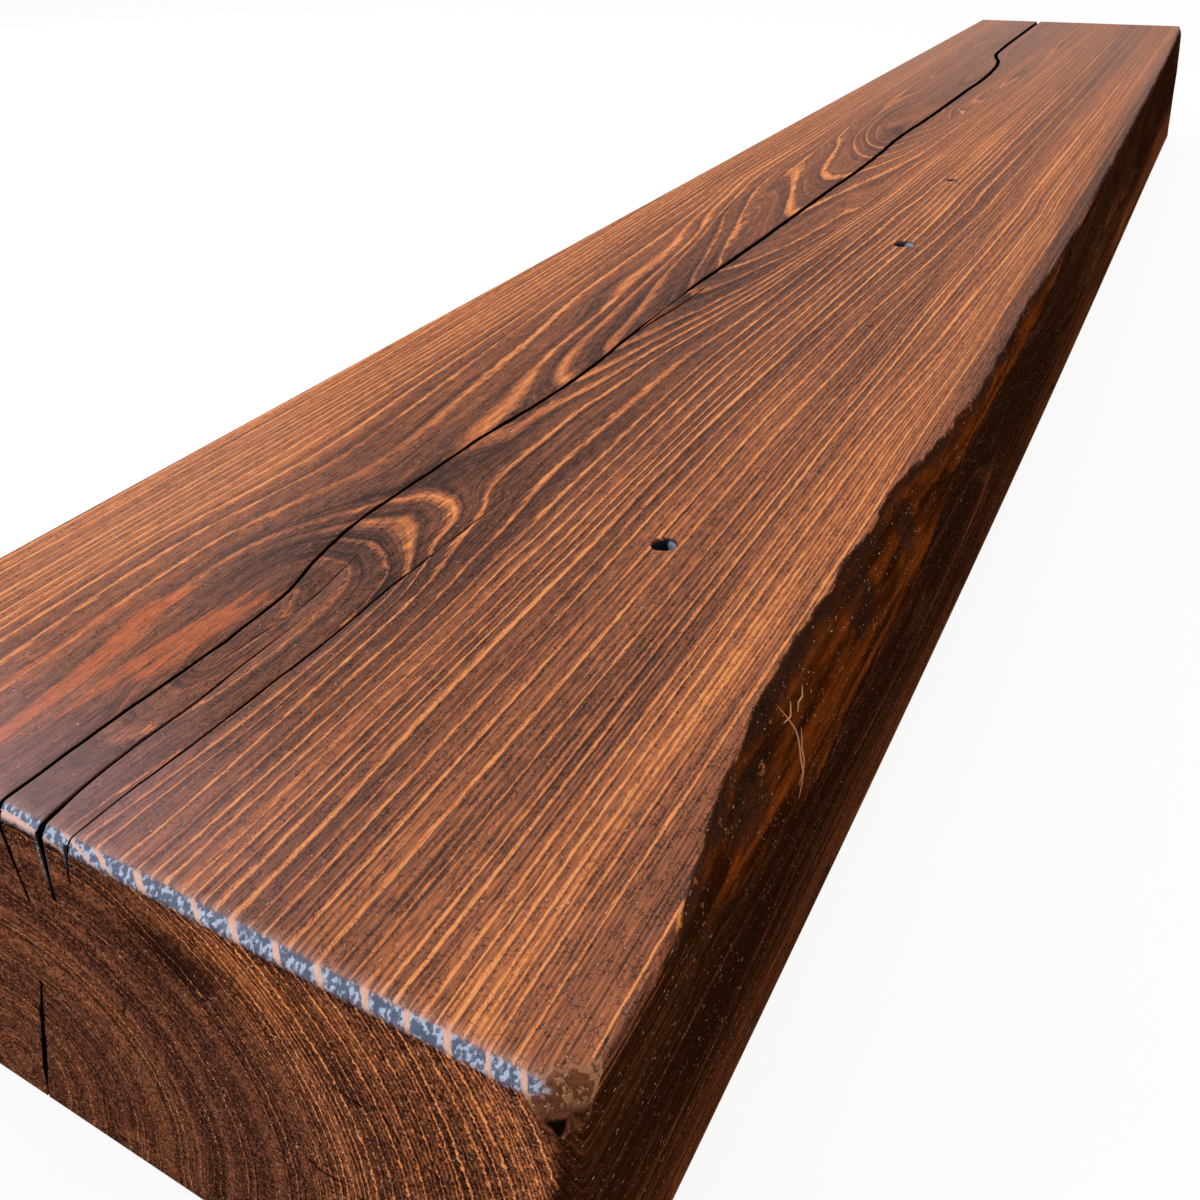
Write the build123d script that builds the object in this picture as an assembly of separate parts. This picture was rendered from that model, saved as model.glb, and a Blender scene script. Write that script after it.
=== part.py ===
from build123d import *
import os

# Reclaimed cypress mantel beam, one sawn timber lying on its bottom face.
# X runs along the beam from the near end (-X) to the far end (+X).
# The waney front is towards -Y, the flat back that meets a wall is towards +Y, Z is up.
# All sizes are in millimetres.

# Sawn size
BEAM_LENGTH = 1632.0
SAWN_WIDTH = 254.0
BEAM_HEIGHT = 127.0
# The near top corner stands further out than the sawn width, so the back is set this much
# further from the middle to keep the beam centred on the frame
CENTRING_SHIFT = 3.5
BACK_Y = SAWN_WIDTH / 2 + CENTRING_SHIFT
FRONT_FOOT_Y = BACK_Y - SAWN_WIDTH
NEAR_X = -BEAM_LENGTH / 2
FAR_X = BEAM_LENGTH / 2

# Near end, sawn a little out of square in plan and leaning back
NEAR_PLAN_SKEW = 0.051
NEAR_LEAN_BACK = 0.038

# Front face: a gentle crook, standing out at the near end's top and set in at the far end's
CROOK_EVEN = 2.96
CROOK_UNEVEN = 2.12
NEAR_TOP_STANDS_OUT = 7.3
FAR_TOP_SETS_IN = 10.5

# Worn arrises of the ends
END_EASING = 2.3
CORNER_WEAR = 3.4
CHIP_ALONG = 9.0
CHIP_ACROSS = 10.0
CHIP_DOWN = 17.0

# Wane along the front top arris: share of the length, inset on the top, drop down the face
WANE = [
    (0.000, 1.0, 3.0),
    (0.024, 1.8, 4.0),
    (0.044, 5.5, 12.0),
    (0.061, 10.0, 20.0),
    (0.080, 13.0, 26.0),
    (0.130, 13.0, 25.0),
    (0.167, 12.0, 24.0),
    (0.190, 8.0, 17.0),
    (0.218, 4.2, 11.0),
    (0.250, 3.6, 10.0),
    (0.296, 4.7, 12.0),
    (0.345, 2.0, 7.0),
    (0.390, 1.5, 5.0),
    (0.500, 1.5, 5.0),
    (0.620, 1.2, 4.0),
    (0.750, 1.2, 4.0),
    (0.850, 1.6, 5.0),
    (0.920, 3.0, 8.0),
    (1.000, 5.0, 12.0),
]
WANE_BULGE = 0.18

# Heart of the tree, low in the section: every drying check points at it
PITH_Y = 25.0
PITH_Z = 11.0

# Main drying check, the whole length of the top: share of the length, y, width, depth
MAIN_CHECK = [
    (0.000, 31.4, 1.5, 30.0),
    (0.031, 31.3, 1.5, 30.0),
    (0.057, 29.9, 1.4, 30.0),
    (0.074, 31.5, 1.6, 31.0),
    (0.083, 35.0, 1.7, 31.0),
    (0.093, 38.1, 1.8, 32.0),
    (0.103, 39.0, 1.8, 32.0),
    (0.124, 38.0, 1.8, 32.0),
    (0.143, 37.1, 2.0, 33.0),
    (0.160, 34.6, 2.4, 34.0),
    (0.177, 32.4, 2.4, 34.0),
    (0.194, 31.6, 2.2, 34.0),
    (0.212, 32.7, 2.1, 35.0),
    (0.229, 33.8, 2.2, 35.0),
    (0.251, 34.2, 2.4, 36.0),
    (0.271, 35.4, 2.8, 36.0),
    (0.305, 34.3, 3.2, 37.0),
    (0.357, 33.6, 3.4, 38.0),
    (0.409, 33.5, 3.4, 39.0),
    (0.444, 32.6, 3.6, 40.0),
    (0.496, 34.1, 3.6, 41.0),
    (0.512, 35.2, 3.8, 41.0),
    (0.573, 33.6, 4.2, 42.0),
    (0.661, 32.9, 4.6, 44.0),
    (0.706, 32.2, 4.8, 44.0),
    (0.733, 33.7, 4.4, 44.0),
    (0.767, 38.1, 4.0, 44.0),
    (0.779, 41.1, 4.0, 44.0),
    (0.794, 48.2, 4.0, 44.0),
    (0.803, 51.3, 4.2, 44.0),
    (0.830, 54.4, 4.6, 45.0),
    (0.866, 56.2, 5.0, 46.0),
    (0.919, 57.6, 5.2, 46.0),
    (1.000, 59.6, 5.4, 47.0),
]

# Two shorter checks from the near end: distance from the end, y, width, depth
SECOND_CHECK = [
    (0.0, 15.6, 2.8, 24.0),
    (11.0, 16.0, 2.6, 24.0),
    (27.0, 17.4, 1.5, 22.0),
    (45.0, 18.1, 1.3, 20.0),
    (64.0, 17.1, 1.0, 16.0),
    (98.0, 17.3, 0.8, 10.0),
    (116.0, 20.3, 0.6, 7.0),
    (144.0, 25.0, 0.3, 3.0),
]
THIRD_CHECK = [
    (0.0, 7.0, 0.7, 12.0),
    (12.0, 6.5, 0.7, 13.0),
    (36.0, 5.9, 0.8, 14.0),
    (64.0, 4.7, 1.0, 15.0),
    (98.0, 3.6, 1.1, 16.0),
    (135.0, 3.9, 1.0, 14.0),
    (163.0, 3.4, 0.7, 9.0),
    (191.0, 2.4, 0.3, 3.0),
]

# Old nail holes in the top: distance from the near end, y, diameter, depth
NAIL_HOLES = [
    (194.5, -61.0, 8.6, 30.0),
    (562.5, -43.3, 12.0, 34.0),
    (724.5, -33.4, 7.0, 25.0),
    (422.0, -63.9, 2.6, 10.0),
]

# Check standing in the near end, open to the bottom face: y, z and half width at the mouth
END_CHECK = [(38.5, 62.5, 0.2), (49.5, 31.0, 1.1), (54.5, 16.0, 0.9), (59.0, -1.0, 0.6)]
END_CHECK_REACH = 75.0
END_CHECK_TAIL = 0.3

# How far cutters stand clear of the beam, and the stock in front of it before it is hewn
OUT = 2.0
FRONT_STOCK = 25.0


stock_y = FRONT_FOOT_Y - FRONT_STOCK


def crook(t):
    even = CROOK_EVEN * 4 * t * (1 - t)
    uneven = CROOK_UNEVEN * 10 * t * (1 - t) * (0.5 - t)
    return even + uneven


def front_foot(t):
    return FRONT_FOOT_Y - crook(t)


def front_head(t):
    return front_foot(t) - NEAR_TOP_STANDS_OUT * (1 - t) + FAR_TOP_SETS_IN * t


def near_end_x(y, z):
    return NEAR_X + NEAR_PLAN_SKEW * (y - FRONT_FOOT_Y) + NEAR_LEAN_BACK * z


def section(x, points):
    corners = [Vector(x, y, z) for y, z in points]
    return Face(Wire.make_polygon(corners, close=True))


def front_waste(x, t, inset, drop):
    # What lies in front of the face and above the wane at one station
    foot = front_foot(t)
    head = front_head(t)
    per_mm = (head - foot) / BEAM_HEIGHT
    face_y = head - per_mm * drop
    face_z = BEAM_HEIGHT - drop
    top_y = head + inset
    mid_y = (face_y + top_y) / 2 - WANE_BULGE * drop * 0.5
    mid_z = (face_z + BEAM_HEIGHT) / 2 + WANE_BULGE * inset
    rise = (top_y - mid_y) / (BEAM_HEIGHT - mid_z)
    return section(
        x,
        [
            (foot - per_mm * OUT, -OUT),
            (face_y, face_z),
            (mid_y, mid_z),
            (top_y + rise * OUT, BEAM_HEIGHT + OUT),
            (stock_y - OUT, BEAM_HEIGHT + OUT),
            (stock_y - OUT, -OUT),
        ],
    )


def check_slot(x, y, width, depth):
    # V-shaped section of a drying check, leaning towards the heart
    lean = (PITH_Y - y) * depth / (BEAM_HEIGHT - PITH_Z)
    return section(
        x,
        [
            (y - width / 2, BEAM_HEIGHT + OUT),
            (y - width / 2, BEAM_HEIGHT),
            (y + lean, BEAM_HEIGHT - depth),
            (y + width / 2, BEAM_HEIGHT),
            (y + width / 2, BEAM_HEIGHT + OUT),
        ],
    )


def check_cutter(stations):
    # Starts and ends clear of the beam where the first or last station is at its end
    return loft([check_slot(*s) for s in stations], ruled=True)


def trim(body, a, b, c):
    # Takes off what lies beyond the plane through three points, seen from the beam's middle
    normal = (b - a).cross(c - a)
    if normal.dot(a - Vector(0, 0, BEAM_HEIGHT / 2)) < 0:
        normal = normal * -1
    return split(body, bisect_by=Plane(a, z_dir=normal), keep=Keep.BOTTOM)


def near_point(y, z):
    return Vector(near_end_x(y, z), y, z)


def near_mouth(stations):
    # Carries a check from distances along the beam to stations that start clear of its end
    y, width, depth = stations[0][1:]
    placed = [(NEAR_X - 5, y, width, depth)]
    for distance, y, width, depth in stations[1:]:
        placed.append((NEAR_X + distance, y, width, depth))
    return placed


# Blank, then its waney front
depth_of_blank = BACK_Y - stock_y
blank_at = Pos(0, BACK_Y - depth_of_blank / 2, BEAM_HEIGHT / 2)
beam = blank_at * Box(BEAM_LENGTH, depth_of_blank, BEAM_HEIGHT)
waste = [front_waste(NEAR_X - 12, *WANE[0])]
for station in WANE[1:-1]:
    waste.append(front_waste(NEAR_X + station[0] * BEAM_LENGTH, *station))
waste.append(front_waste(FAR_X + 12, *WANE[-1]))
beam -= loft(waste)

# Near end, sawn out of square
beam = trim(beam, near_point(BACK_Y, 0), near_point(FRONT_FOOT_Y, 0), near_point(0, BEAM_HEIGHT))

# Eased top arris of the near end
ease_back = near_point(BACK_Y, BEAM_HEIGHT)
ease_front = near_point(FRONT_FOOT_Y, BEAM_HEIGHT)
along = Vector(END_EASING, 0, 0)
down = Vector(0, 0, -END_EASING)
beam = trim(beam, ease_back + along, ease_front + along, ease_front + down)

# Eased top arris of the far end
far_top = Vector(FAR_X, 0, BEAM_HEIGHT)
beam = trim(beam, far_top - along, far_top - along + Vector(0, 50, 0), far_top + down)

# Worn upright arris between the near end and the front, and the chip out of its top
foot_y = front_foot(0)
head_y = front_head(0) + WANE[0][1]
wear_foot = Vector(near_end_x(foot_y, 0) + CORNER_WEAR, foot_y, 0)
wear_head = Vector(near_end_x(head_y, BEAM_HEIGHT) + CORNER_WEAR, head_y, BEAM_HEIGHT)
wear_end = near_point(foot_y + CORNER_WEAR, 0)
beam = trim(beam, wear_foot, wear_head, wear_end)
chip_along = near_point(head_y, BEAM_HEIGHT) + Vector(CHIP_ALONG, 0, 0)
chip_across = near_point(head_y + CHIP_ACROSS, BEAM_HEIGHT)
chip_down = near_point(head_y, BEAM_HEIGHT - CHIP_DOWN)
beam = trim(beam, chip_along, chip_across, chip_down)

# Drying checks in the top
main = [(NEAR_X - 5, *MAIN_CHECK[0][1:])]
for share, y, width, depth in MAIN_CHECK[1:-1]:
    main.append((NEAR_X + share * BEAM_LENGTH, y, width, depth))
main.append((FAR_X + 5, *MAIN_CHECK[-1][1:]))
beam -= check_cutter(main)
beam -= check_cutter(near_mouth(SECOND_CHECK))
beam -= check_cutter(near_mouth(THIRD_CHECK))

# Check standing in the near end
mouth = []
tail = []
for y, z, half in END_CHECK:
    mouth.append((y - half, z))
    tail.append((y - half * END_CHECK_TAIL, z * END_CHECK_TAIL))
for y, z, half in reversed(END_CHECK):
    mouth.append((y + half, z))
    tail.append((y + half * END_CHECK_TAIL, z * END_CHECK_TAIL))
reach = [section(NEAR_X - 5, mouth), section(NEAR_X + END_CHECK_REACH, tail)]
beam -= loft(reach, ruled=True)

# Old nail holes, each a short blind shaft
for distance, y, diameter, depth in NAIL_HOLES:
    shaft = Cylinder(diameter / 2, depth + OUT)
    beam -= Pos(NEAR_X + distance, y, BEAM_HEIGHT + OUT - (depth + OUT) / 2) * shaft

os.makedirs("parts", exist_ok=True)
export_step(beam.solid(), "parts/mantel_beam.step")
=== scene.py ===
"""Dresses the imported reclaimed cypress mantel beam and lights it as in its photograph.

X runs along the beam from its near end, Y from its waney front to its flat back, Z is up.
Sizes in the tables are in millimetres; what reaches a mesh is in metres.
"""
import math
from types import SimpleNamespace

import bmesh
import bpy
import numpy as np
from bpy.props import FloatProperty, FloatVectorProperty, PointerProperty
from bpy.types import Operator, Panel, PropertyGroup
from mathutils import Matrix, Vector
from mathutils.geometry import delaunay_2d_cdt


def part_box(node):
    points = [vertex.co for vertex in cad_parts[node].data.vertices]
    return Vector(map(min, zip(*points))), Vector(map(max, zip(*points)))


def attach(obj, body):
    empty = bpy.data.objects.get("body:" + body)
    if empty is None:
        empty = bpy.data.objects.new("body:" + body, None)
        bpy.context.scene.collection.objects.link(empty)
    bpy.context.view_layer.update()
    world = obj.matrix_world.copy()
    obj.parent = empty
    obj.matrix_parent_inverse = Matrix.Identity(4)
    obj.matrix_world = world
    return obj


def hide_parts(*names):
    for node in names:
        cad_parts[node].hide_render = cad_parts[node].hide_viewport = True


bl_info = {
    "name": "Reclaimed Cypress Mantel Beam",
    "version": (1, 0, 0),
    "blender": (4, 5, 0),
    "location": "3D View > Sidebar > Mantel Beam",
    "description": "Builds the waney, checked and stained mantel beam and its stage",
    "category": "Add Mesh",
}

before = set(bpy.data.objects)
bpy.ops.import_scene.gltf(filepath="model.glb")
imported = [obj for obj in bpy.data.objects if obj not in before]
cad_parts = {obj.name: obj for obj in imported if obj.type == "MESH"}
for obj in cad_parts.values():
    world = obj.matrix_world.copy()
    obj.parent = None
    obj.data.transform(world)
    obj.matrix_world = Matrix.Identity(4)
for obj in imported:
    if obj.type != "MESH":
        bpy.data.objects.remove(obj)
BEAM_LOW, BEAM_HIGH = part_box("mantel_beam")

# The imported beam's shape: its far, back and top faces lie on its box, centred along X

FAR_X, BACK_Y, HEIGHT = (round(side * 1000, 2) for side in BEAM_HIGH)
NEAR_X = -FAR_X
LENGTH = 2 * FAR_X
SAWN_WIDTH = 254.0
FRONT_FOOT_Y = BACK_Y - SAWN_WIDTH
NEAR_PLAN_SKEW = 0.051
NEAR_LEAN_BACK = 0.038
CROOK_EVEN = 2.96
CROOK_UNEVEN = 2.12
NEAR_TOP_STANDS_OUT = 7.3
FAR_TOP_SETS_IN = 10.5
END_EASING = 2.3
CORNER_WEAR = 3.4
CHIP_ALONG = 9.0
CHIP_ACROSS = 10.0
CHIP_DOWN = 17.0
SKEW_FADES_OVER = 150.0
BACK_ARRIS = 1.0
# How near to each end its wear is looked for
NEAR_WEAR_REACH, FAR_WEAR_REACH = 60.0, 20.0
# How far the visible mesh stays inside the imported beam's box
INSIDE_BOX = 0.002

# Wane: distance from the near end, inset on the top, drop down the front
WANE = np.array([
    (0, 1.0, 3.0), (39, 1.8, 4.0), (72, 5.5, 12.0), (100, 10.0, 20.0), (131, 13.0, 26.0),
    (212, 13.0, 25.0), (273, 12.0, 24.0), (310, 8.0, 17.0), (356, 4.2, 11.0),
    (408, 3.6, 10.0), (483, 4.7, 12.0), (563, 2.0, 7.0), (636, 1.5, 5.0), (816, 1.5, 5.0),
    (1012, 1.2, 4.0), (1224, 1.2, 4.0), (1387, 1.6, 5.0), (1501, 3.0, 8.0), (1632, 5.0, 12.0),
])
WANE_BULGE = 0.18

# The heart of the tree: where the checks point, and the y that the end's rings close round
PITH_Y = 25.0
PITH_Z = 11.0
HEART_Y = 68.0
# How far the heart's height drifts along the beam, in mm, and the length of that wave
PITH_DRIFT, PITH_DRIFT_LENGTH = 4.5, 210.0
# The rings' swell at the height of the heart
SWELL_INSIDE = 15

# Drying checks in the top: distance from the near end, y, width, depth
MAIN_CHECK = np.array([
    (0, 31.4, 1.5, 30), (51, 31.3, 1.5, 30), (93, 29.9, 1.4, 30), (121, 31.5, 1.6, 31),
    (135, 35.0, 1.7, 31), (152, 38.1, 1.8, 32), (168, 39.0, 1.8, 32), (202, 38.0, 1.8, 32),
    (233, 37.1, 2.0, 33), (261, 34.6, 2.4, 34), (289, 32.4, 2.4, 34), (317, 31.6, 2.2, 34),
    (346, 32.7, 2.1, 35), (374, 33.8, 2.0, 35), (390, 34.3, 0.9, 35), (425, 35.0, 0.9, 36),
    (440, 35.4, 2.4, 36), (460, 35.2, 3.0, 36), (498, 34.3, 3.2, 37),
    (583, 33.6, 3.4, 38), (667, 33.5, 3.4, 39), (725, 32.6, 3.6, 40),
    (809, 34.1, 3.6, 41), (836, 35.2, 3.8, 41), (935, 33.6, 4.2, 42), (1079, 32.9, 4.6, 44),
    (1152, 32.2, 4.8, 44), (1196, 33.7, 4.4, 44), (1252, 38.1, 4.0, 44),
    (1271, 41.1, 4.0, 44), (1296, 48.2, 4.0, 44), (1310, 51.3, 4.2, 44),
    (1355, 54.4, 4.6, 45), (1413, 56.2, 5.0, 46), (1500, 57.6, 5.2, 46), (1632, 59.6, 5.4, 47),
])
SECOND_CHECK = np.array([
    (0, 15.6, 2.8, 24), (11, 16.0, 2.6, 24), (27, 17.4, 1.5, 22), (45, 18.1, 1.3, 20),
    (64, 17.1, 1.0, 16), (84, 17.2, 0.8, 12), (100, 17.3, 0.5, 5), (108, 17.2, 0.45, 0),
    (125, 17.2, 0.45, 0), (1632, 17.2, 0.45, 0),
])
HAIR_CHECK = np.array([
    (0, 24.2, 0.45, 0), (82, 24.2, 0.45, 0), (92, 23.6, 0.5, 4), (106, 22.2, 0.55, 6),
    (118, 21.6, 0.55, 6), (134, 23.6, 0.5, 4), (147, 25.2, 0.45, 0),
    (165, 25.2, 0.45, 0), (1632, 25.2, 0.45, 0),
])
THIRD_CHECK = np.array([
    (0, 7.0, 0.7, 12), (12, 6.5, 0.7, 13), (36, 5.9, 0.8, 14), (64, 4.7, 1.0, 15),
    (98, 3.6, 1.1, 16), (135, 3.9, 1.0, 14), (163, 3.4, 0.7, 9), (191, 2.4, 0.45, 3),
    (202, 2.2, 0.45, 0), (225, 2.2, 0.45, 0), (1632, 2.2, 0.45, 0),
])
# Where one length of the main check dies out beside the next
FORK_CHECK = np.array([
    (0, -1.9, 0.45, 0), (370, -1.9, 0.45, 0), (380, -2.0, 1.2, 20), (392, -2.9, 1.9, 28),
    (406, -4.3, 2.0, 28), (420, -5.3, 1.7, 22), (433, -6.0, 1.1, 12), (445, -6.3, 0.45, 0),
    (470, -6.3, 0.45, 0), (1632, -6.3, 0.45, 0),
])
# Check standing in the near end, open to the bottom: y, z, half width at its mouth
END_CHECK = np.array([(59.0, 0.0, 0.4), (54.5, 16.0, 0.6), (49.5, 31.0, 0.7), (44.5, 46.0, 0.45)])
END_CHECK_TIP = (38.5, 62.5)
END_CHECK_REACH = 75.0
END_CHECK_TAIL = 0.3
# The y at which distance is measured for it
END_CHECK_Y = 55.0
# Half section of a check that has 3, 5 or 9 points: shares of its half width and depth
CHECK_SIDES = {
    3: [(1, 0)],
    5: [(1, 0), (0.86, 0.07)],
    9: [(1, 0), (0.95, 0.02), (0.76, 0.14), (0.4, 0.42)],
}
# What a check keeps of its width where it has run out, so that its lips never meet
LEAST_CHECK = 0.42

# Old nail holes: distance from the near end, y, diameter, depth
NAIL_HOLES = [
    (194.5, -61.0, 8.6, 30.0),
    (562.5, -43.3, 12.0, 34.0),
    (724.5, -33.4, 7.0, 25.0),
    (422.0, -63.9, 2.6, 10.0),
]
# How far the top's cells round a hole are given up for it
HOLE_MARGIN = 2.6
# Rings of points on the flat round a hole, as shares of the way in to its lip
HOLE_FLAT = (0.45, 0.8)
# Rings of points from its lip down: share of its radius, how deep, and what share of its
# depth is added to that
HOLE_WALL = [(1.06, 0.12, 0), (1.0, 0.7, 0), (0.95, 2.4, 0), (0.93, 0, 0.4), (0.9, 0, 0.97),
             (0.55, 0, 1.0)]
# The lit part of a hole's wall, as a turn about its middle
SHINE_TURN = -0.5

# How many points the parts of the section have, from the front's foot round to it again
FACE_POINTS = 27
WANE_POINTS = 11
FIELD_POINTS = 46
REAR_POINTS = 37
BACK_POINTS = 11
BEHIND_POINTS = 9
AHEAD_POINTS = 21
# From a lip to the points beside it, which keep its shading sharp
LIP_GAP = 0.6
# Runs of stations along the beam: first, past the last, how far apart
STATION_RUNS = [(9.2, 240, 2.6), (240.5, 460, 3.2), (461, 900, 4.4), (902, 1235, 7.5),
                (1236, 1325, 4.2), (1328, 1622, 9.0)]
NEAR_STATIONS = [0, 0.55, 1.1, 1.7, 2.3, 3.2, 4.6, 6.6]
FAR_STATIONS = [1625, 1628, 1629.6, 1630.5, 1631.3, 1632]
# Edges past this angle are sharp
SHARP_PAST = math.radians(38)
# Even cells of an end: how far they reach each way, their lowest and highest rows, the
# drops of three rows under the top's arris, and how near its outline a cell may come
END_ACROSS = 132.0
END_LOW, END_HIGH = 1.0, 124.0
ARRIS_ROWS = np.array([0.6, 1.4, 2.4])
LEAST_GAP = 0.35
# Size of the cells, near and far
NEAR_GRAIN, FAR_GRAIN = 2.1, 3.6

# Growth rings. Each line of late wood on the top is a ring number and its points,
# distance from the near end and y, as measured.
RING_LINES = [
    (50, [(899, 38), (908, 50), (925, 58), (940, 64)]),
    (50, [(880, 28), (905, 22), (925, 16)]),
    (51, [(840, 51.4), (863, 58), (886, 62)]),
    (52, [(809, 39.8), (817, 49.5), (834, 57.2), (857, 63.9), (880, 69.7)]),
    (53, [(776, 37), (786, 47.5), (800, 55.2), (823, 62.9), (851, 69.7), (880, 74.5)]),
    (53, [(771, 29.3), (786, 24.5), (809, 20.6), (850, 14)]),
    (54, [(697, 43.7), (711, 53.3), (737, 59), (760, 63.9), (780, 65.8), (809, 70.6),
          (837, 75.4), (866, 81.2), (891, 84)]),
    (54, [(725, 31.5), (746, 25.4), (766, 20.6), (794, 15.8), (823, 12), (870, 6)]),
    (55, [(596, 36), (618, 45.6), (645, 51.4), (672, 62), (700, 67.7), (737, 76.4),
          (766, 81.2), (794, 84), (837, 88.9), (880, 90.8)]),
    (55, [(622, 30.6), (650, 26.4), (672, 21.6), (700, 17.7), (737, 12), (766, 8.1),
          (794, 4.3), (837, 0.4)]),
    (56, [(472, 36.4), (496, 41.4), (523, 47.2), (550, 54.3), (577, 60.6), (604, 66.8),
          (631, 73.5), (658, 78.3), (700, 84)]),
    (56, [(469, 30.2), (491, 25.4), (510, 20.6), (537, 14.9), (566, 12), (604, 10),
          (645, 7.2), (700, 1.4)]),
    (56, [(132, 31.2), (125, 25.4), (115, 22.2), (100, 21.2), (81, 21)]),
    (57, [(453, 38.3), (469, 44), (496, 50.4), (523, 56.2), (537, 59)]),
    (57, [(442, 31.2), (456, 26.4), (475, 19.7), (496, 14.9), (510, 12.9)]),
    (57, [(139, 34), (137.5, 28.3), (131, 20.6), (121, 14.9), (108, 12), (94, 12.4),
          (77, 14.5), (63.5, 15.2)]),
    (58, [(342, 35.4), (369, 38.9), (388, 44), (415, 47.2), (442, 53.3), (469, 59),
          (496, 63.9), (529, 67.7), (564, 75.4), (604, 84), (658, 91.4), (700, 96.6)]),
    (58, [(334, 30.2), (350, 28.3), (369, 25.4), (388, 22.5), (407, 17.7), (429, 12.9),
          (456, 9), (485, 6.2), (523, 2.3), (560, 0), (600, -2.5), (650, -6.5), (690, -10)]),
    (58, [(148, 36), (151, 28.3), (148, 20.6), (138, 13.9), (123, 7.2), (108, 3.3), (60, 5)]),
    (59, [(296, 35), (307, 37.9), (329, 44.7), (350, 49.5), (369, 53.7), (383, 55.6),
          (402, 55.2), (423, 59), (442, 62)]),
    (59, [(163, 37), (170, 31.2), (175, 23.5), (169, 16.8), (158, 8.1), (146, 3.3),
          (120, -1), (60, 0.5), (15, 1.5)]),
    (60, [(238, 38.9), (260, 45.6), (280, 48.5), (296, 52), (320, 56.2), (353, 58.5),
          (380, 59.7), (394, 62), (420, 66.8), (442, 70), (469, 72), (504, 74.8),
          (523, 77.3), (550, 83), (591, 88.9), (631, 93.7), (700, 102)]),
    (60, [(238, 29.3), (263, 27.3), (279, 24.5), (302, 22.5), (320, 21.2), (348, 16.8),
          (375, 12.9), (402, 9), (440, 4.5), (480, 1), (540, -3), (600, -7)]),
    (60, [(150, 60), (160, 54.3), (167, 48.5), (181, 38), (189, 28.3), (192, 24.5),
          (189, 15.8), (173, 7.2), (150, 1.4), (123, -3.4), (60, -4.5), (15, -4)]),
    (61, [(45, 68.7), (77, 71.6), (96, 74.1), (113, 75.4), (135, 72.9), (154, 68.7),
          (173, 63.3), (192, 59.1), (212, 57.9), (231, 59.1), (250, 62.5), (269, 65.8),
          (300, 69.7), (320, 71), (348, 75.4), (369, 79.3), (402, 83.7), (442, 86.4),
          (496, 89.8), (550, 94.7)]),
    (61, [(15, -8), (60, -8.6), (110, -7.5), (135, -4.4), (154, -0.9), (173, 3.3),
          (192, 8.1), (212, 12.9), (231, 14.5), (250, 13.9), (279, 12.9), (307, 12),
          (334, 10), (361, 8.7), (388, 5.2), (415, 2.3), (442, 0.4), (469, -1.5)]),
    (62, [(56, 79.7), (87, 82.7), (113, 84), (144, 82.2), (173, 78.9), (202, 76.8),
          (225, 76.8), (250, 78.7), (269, 81.2), (300, 83.7), (350, 86.5), (400, 91),
          (450, 94.5), (500, 97)]),
    (62, [(46, -16.9), (77, -15.9), (115, -14), (154, -11.1), (192, -7.3), (231, -2.5),
          (288, -2.5), (350, -2.5), (390, -5.5), (440, -8), (500, -9.6), (560, -11.1),
          (620, -13), (690, -15)]),
    (63, [(67, 89.1), (112, 91.8), (144, 89.3), (173, 86.4), (202, 84.5), (221, 84.5),
          (250, 87), (269, 88.9), (300, 90), (350, 93), (400, 96), (450, 99), (500, 101)]),
    (63, [(15, -20.7), (77, -18.8), (135, -17.8), (192, -15.9), (250, -13), (300, -11.1),
          (340, -10.5), (380, -12), (440, -13.6), (500, -15.5), (600, -17.8), (690, -20.7)]),
    (64, [(38, -22), (96, -23.2), (154, -21.7), (212, -19.4), (269, -17.8), (300, -17.3),
          (340, -16.5), (400, -18.4), (450, -20.2), (520, -22), (600, -25), (690, -27.5)]),
    (65, [(15, -29), (96, -28.4), (173, -26.5), (250, -24), (300, -23.2), (340, -22),
          (400, -23.6), (480, -26.5), (560, -29), (690, -33)]),
    (66, [(96, -31.3), (173, -29.8), (250, -28.6), (300, -27.8), (340, -27.5),
          (400, -28.4), (480, -30.7), (600, -35)]),
    (66.5, [(100, 104), (150, 104), (300, 106), (400, 109)]),
    (67, [(19, -35.2), (96, -34.2), (173, -33.6), (250, -32), (300, -31.7), (400, -33.2)]),
    (68, [(15, -39.4), (58, -37.7), (115, -37), (173, -36.5), (250, -34.8), (300, -35.2),
          (400, -36), (470, -39)]),
    (71, [(19, -53.4), (96, -52), (173, -51), (250, -49), (300, -48.6), (400, -49.6),
          (450, -51.5), (520, -54.8), (600, -60), (690, -63)]),
    (72.5, [(100, 120.6), (150, 120.8), (300, 121)]),
    (73, [(15, -60), (150, -58.5), (300, -56), (400, -58.2), (450, -60), (500, -63.4),
          (560, -66.9), (690, -71.7)]),
    (75, [(15, -68), (150, -67), (300, -65), (380, -68.4)]),
    (81, [(15, -91), (150, -90), (300, -89), (400, -91.5), (500, -93.8), (600, -96.7),
          (690, -97.7)]),
    (85, [(15, -103), (150, -103), (300, -104.5), (400, -108.6), (500, -109), (690, -112)]),
]
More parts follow.
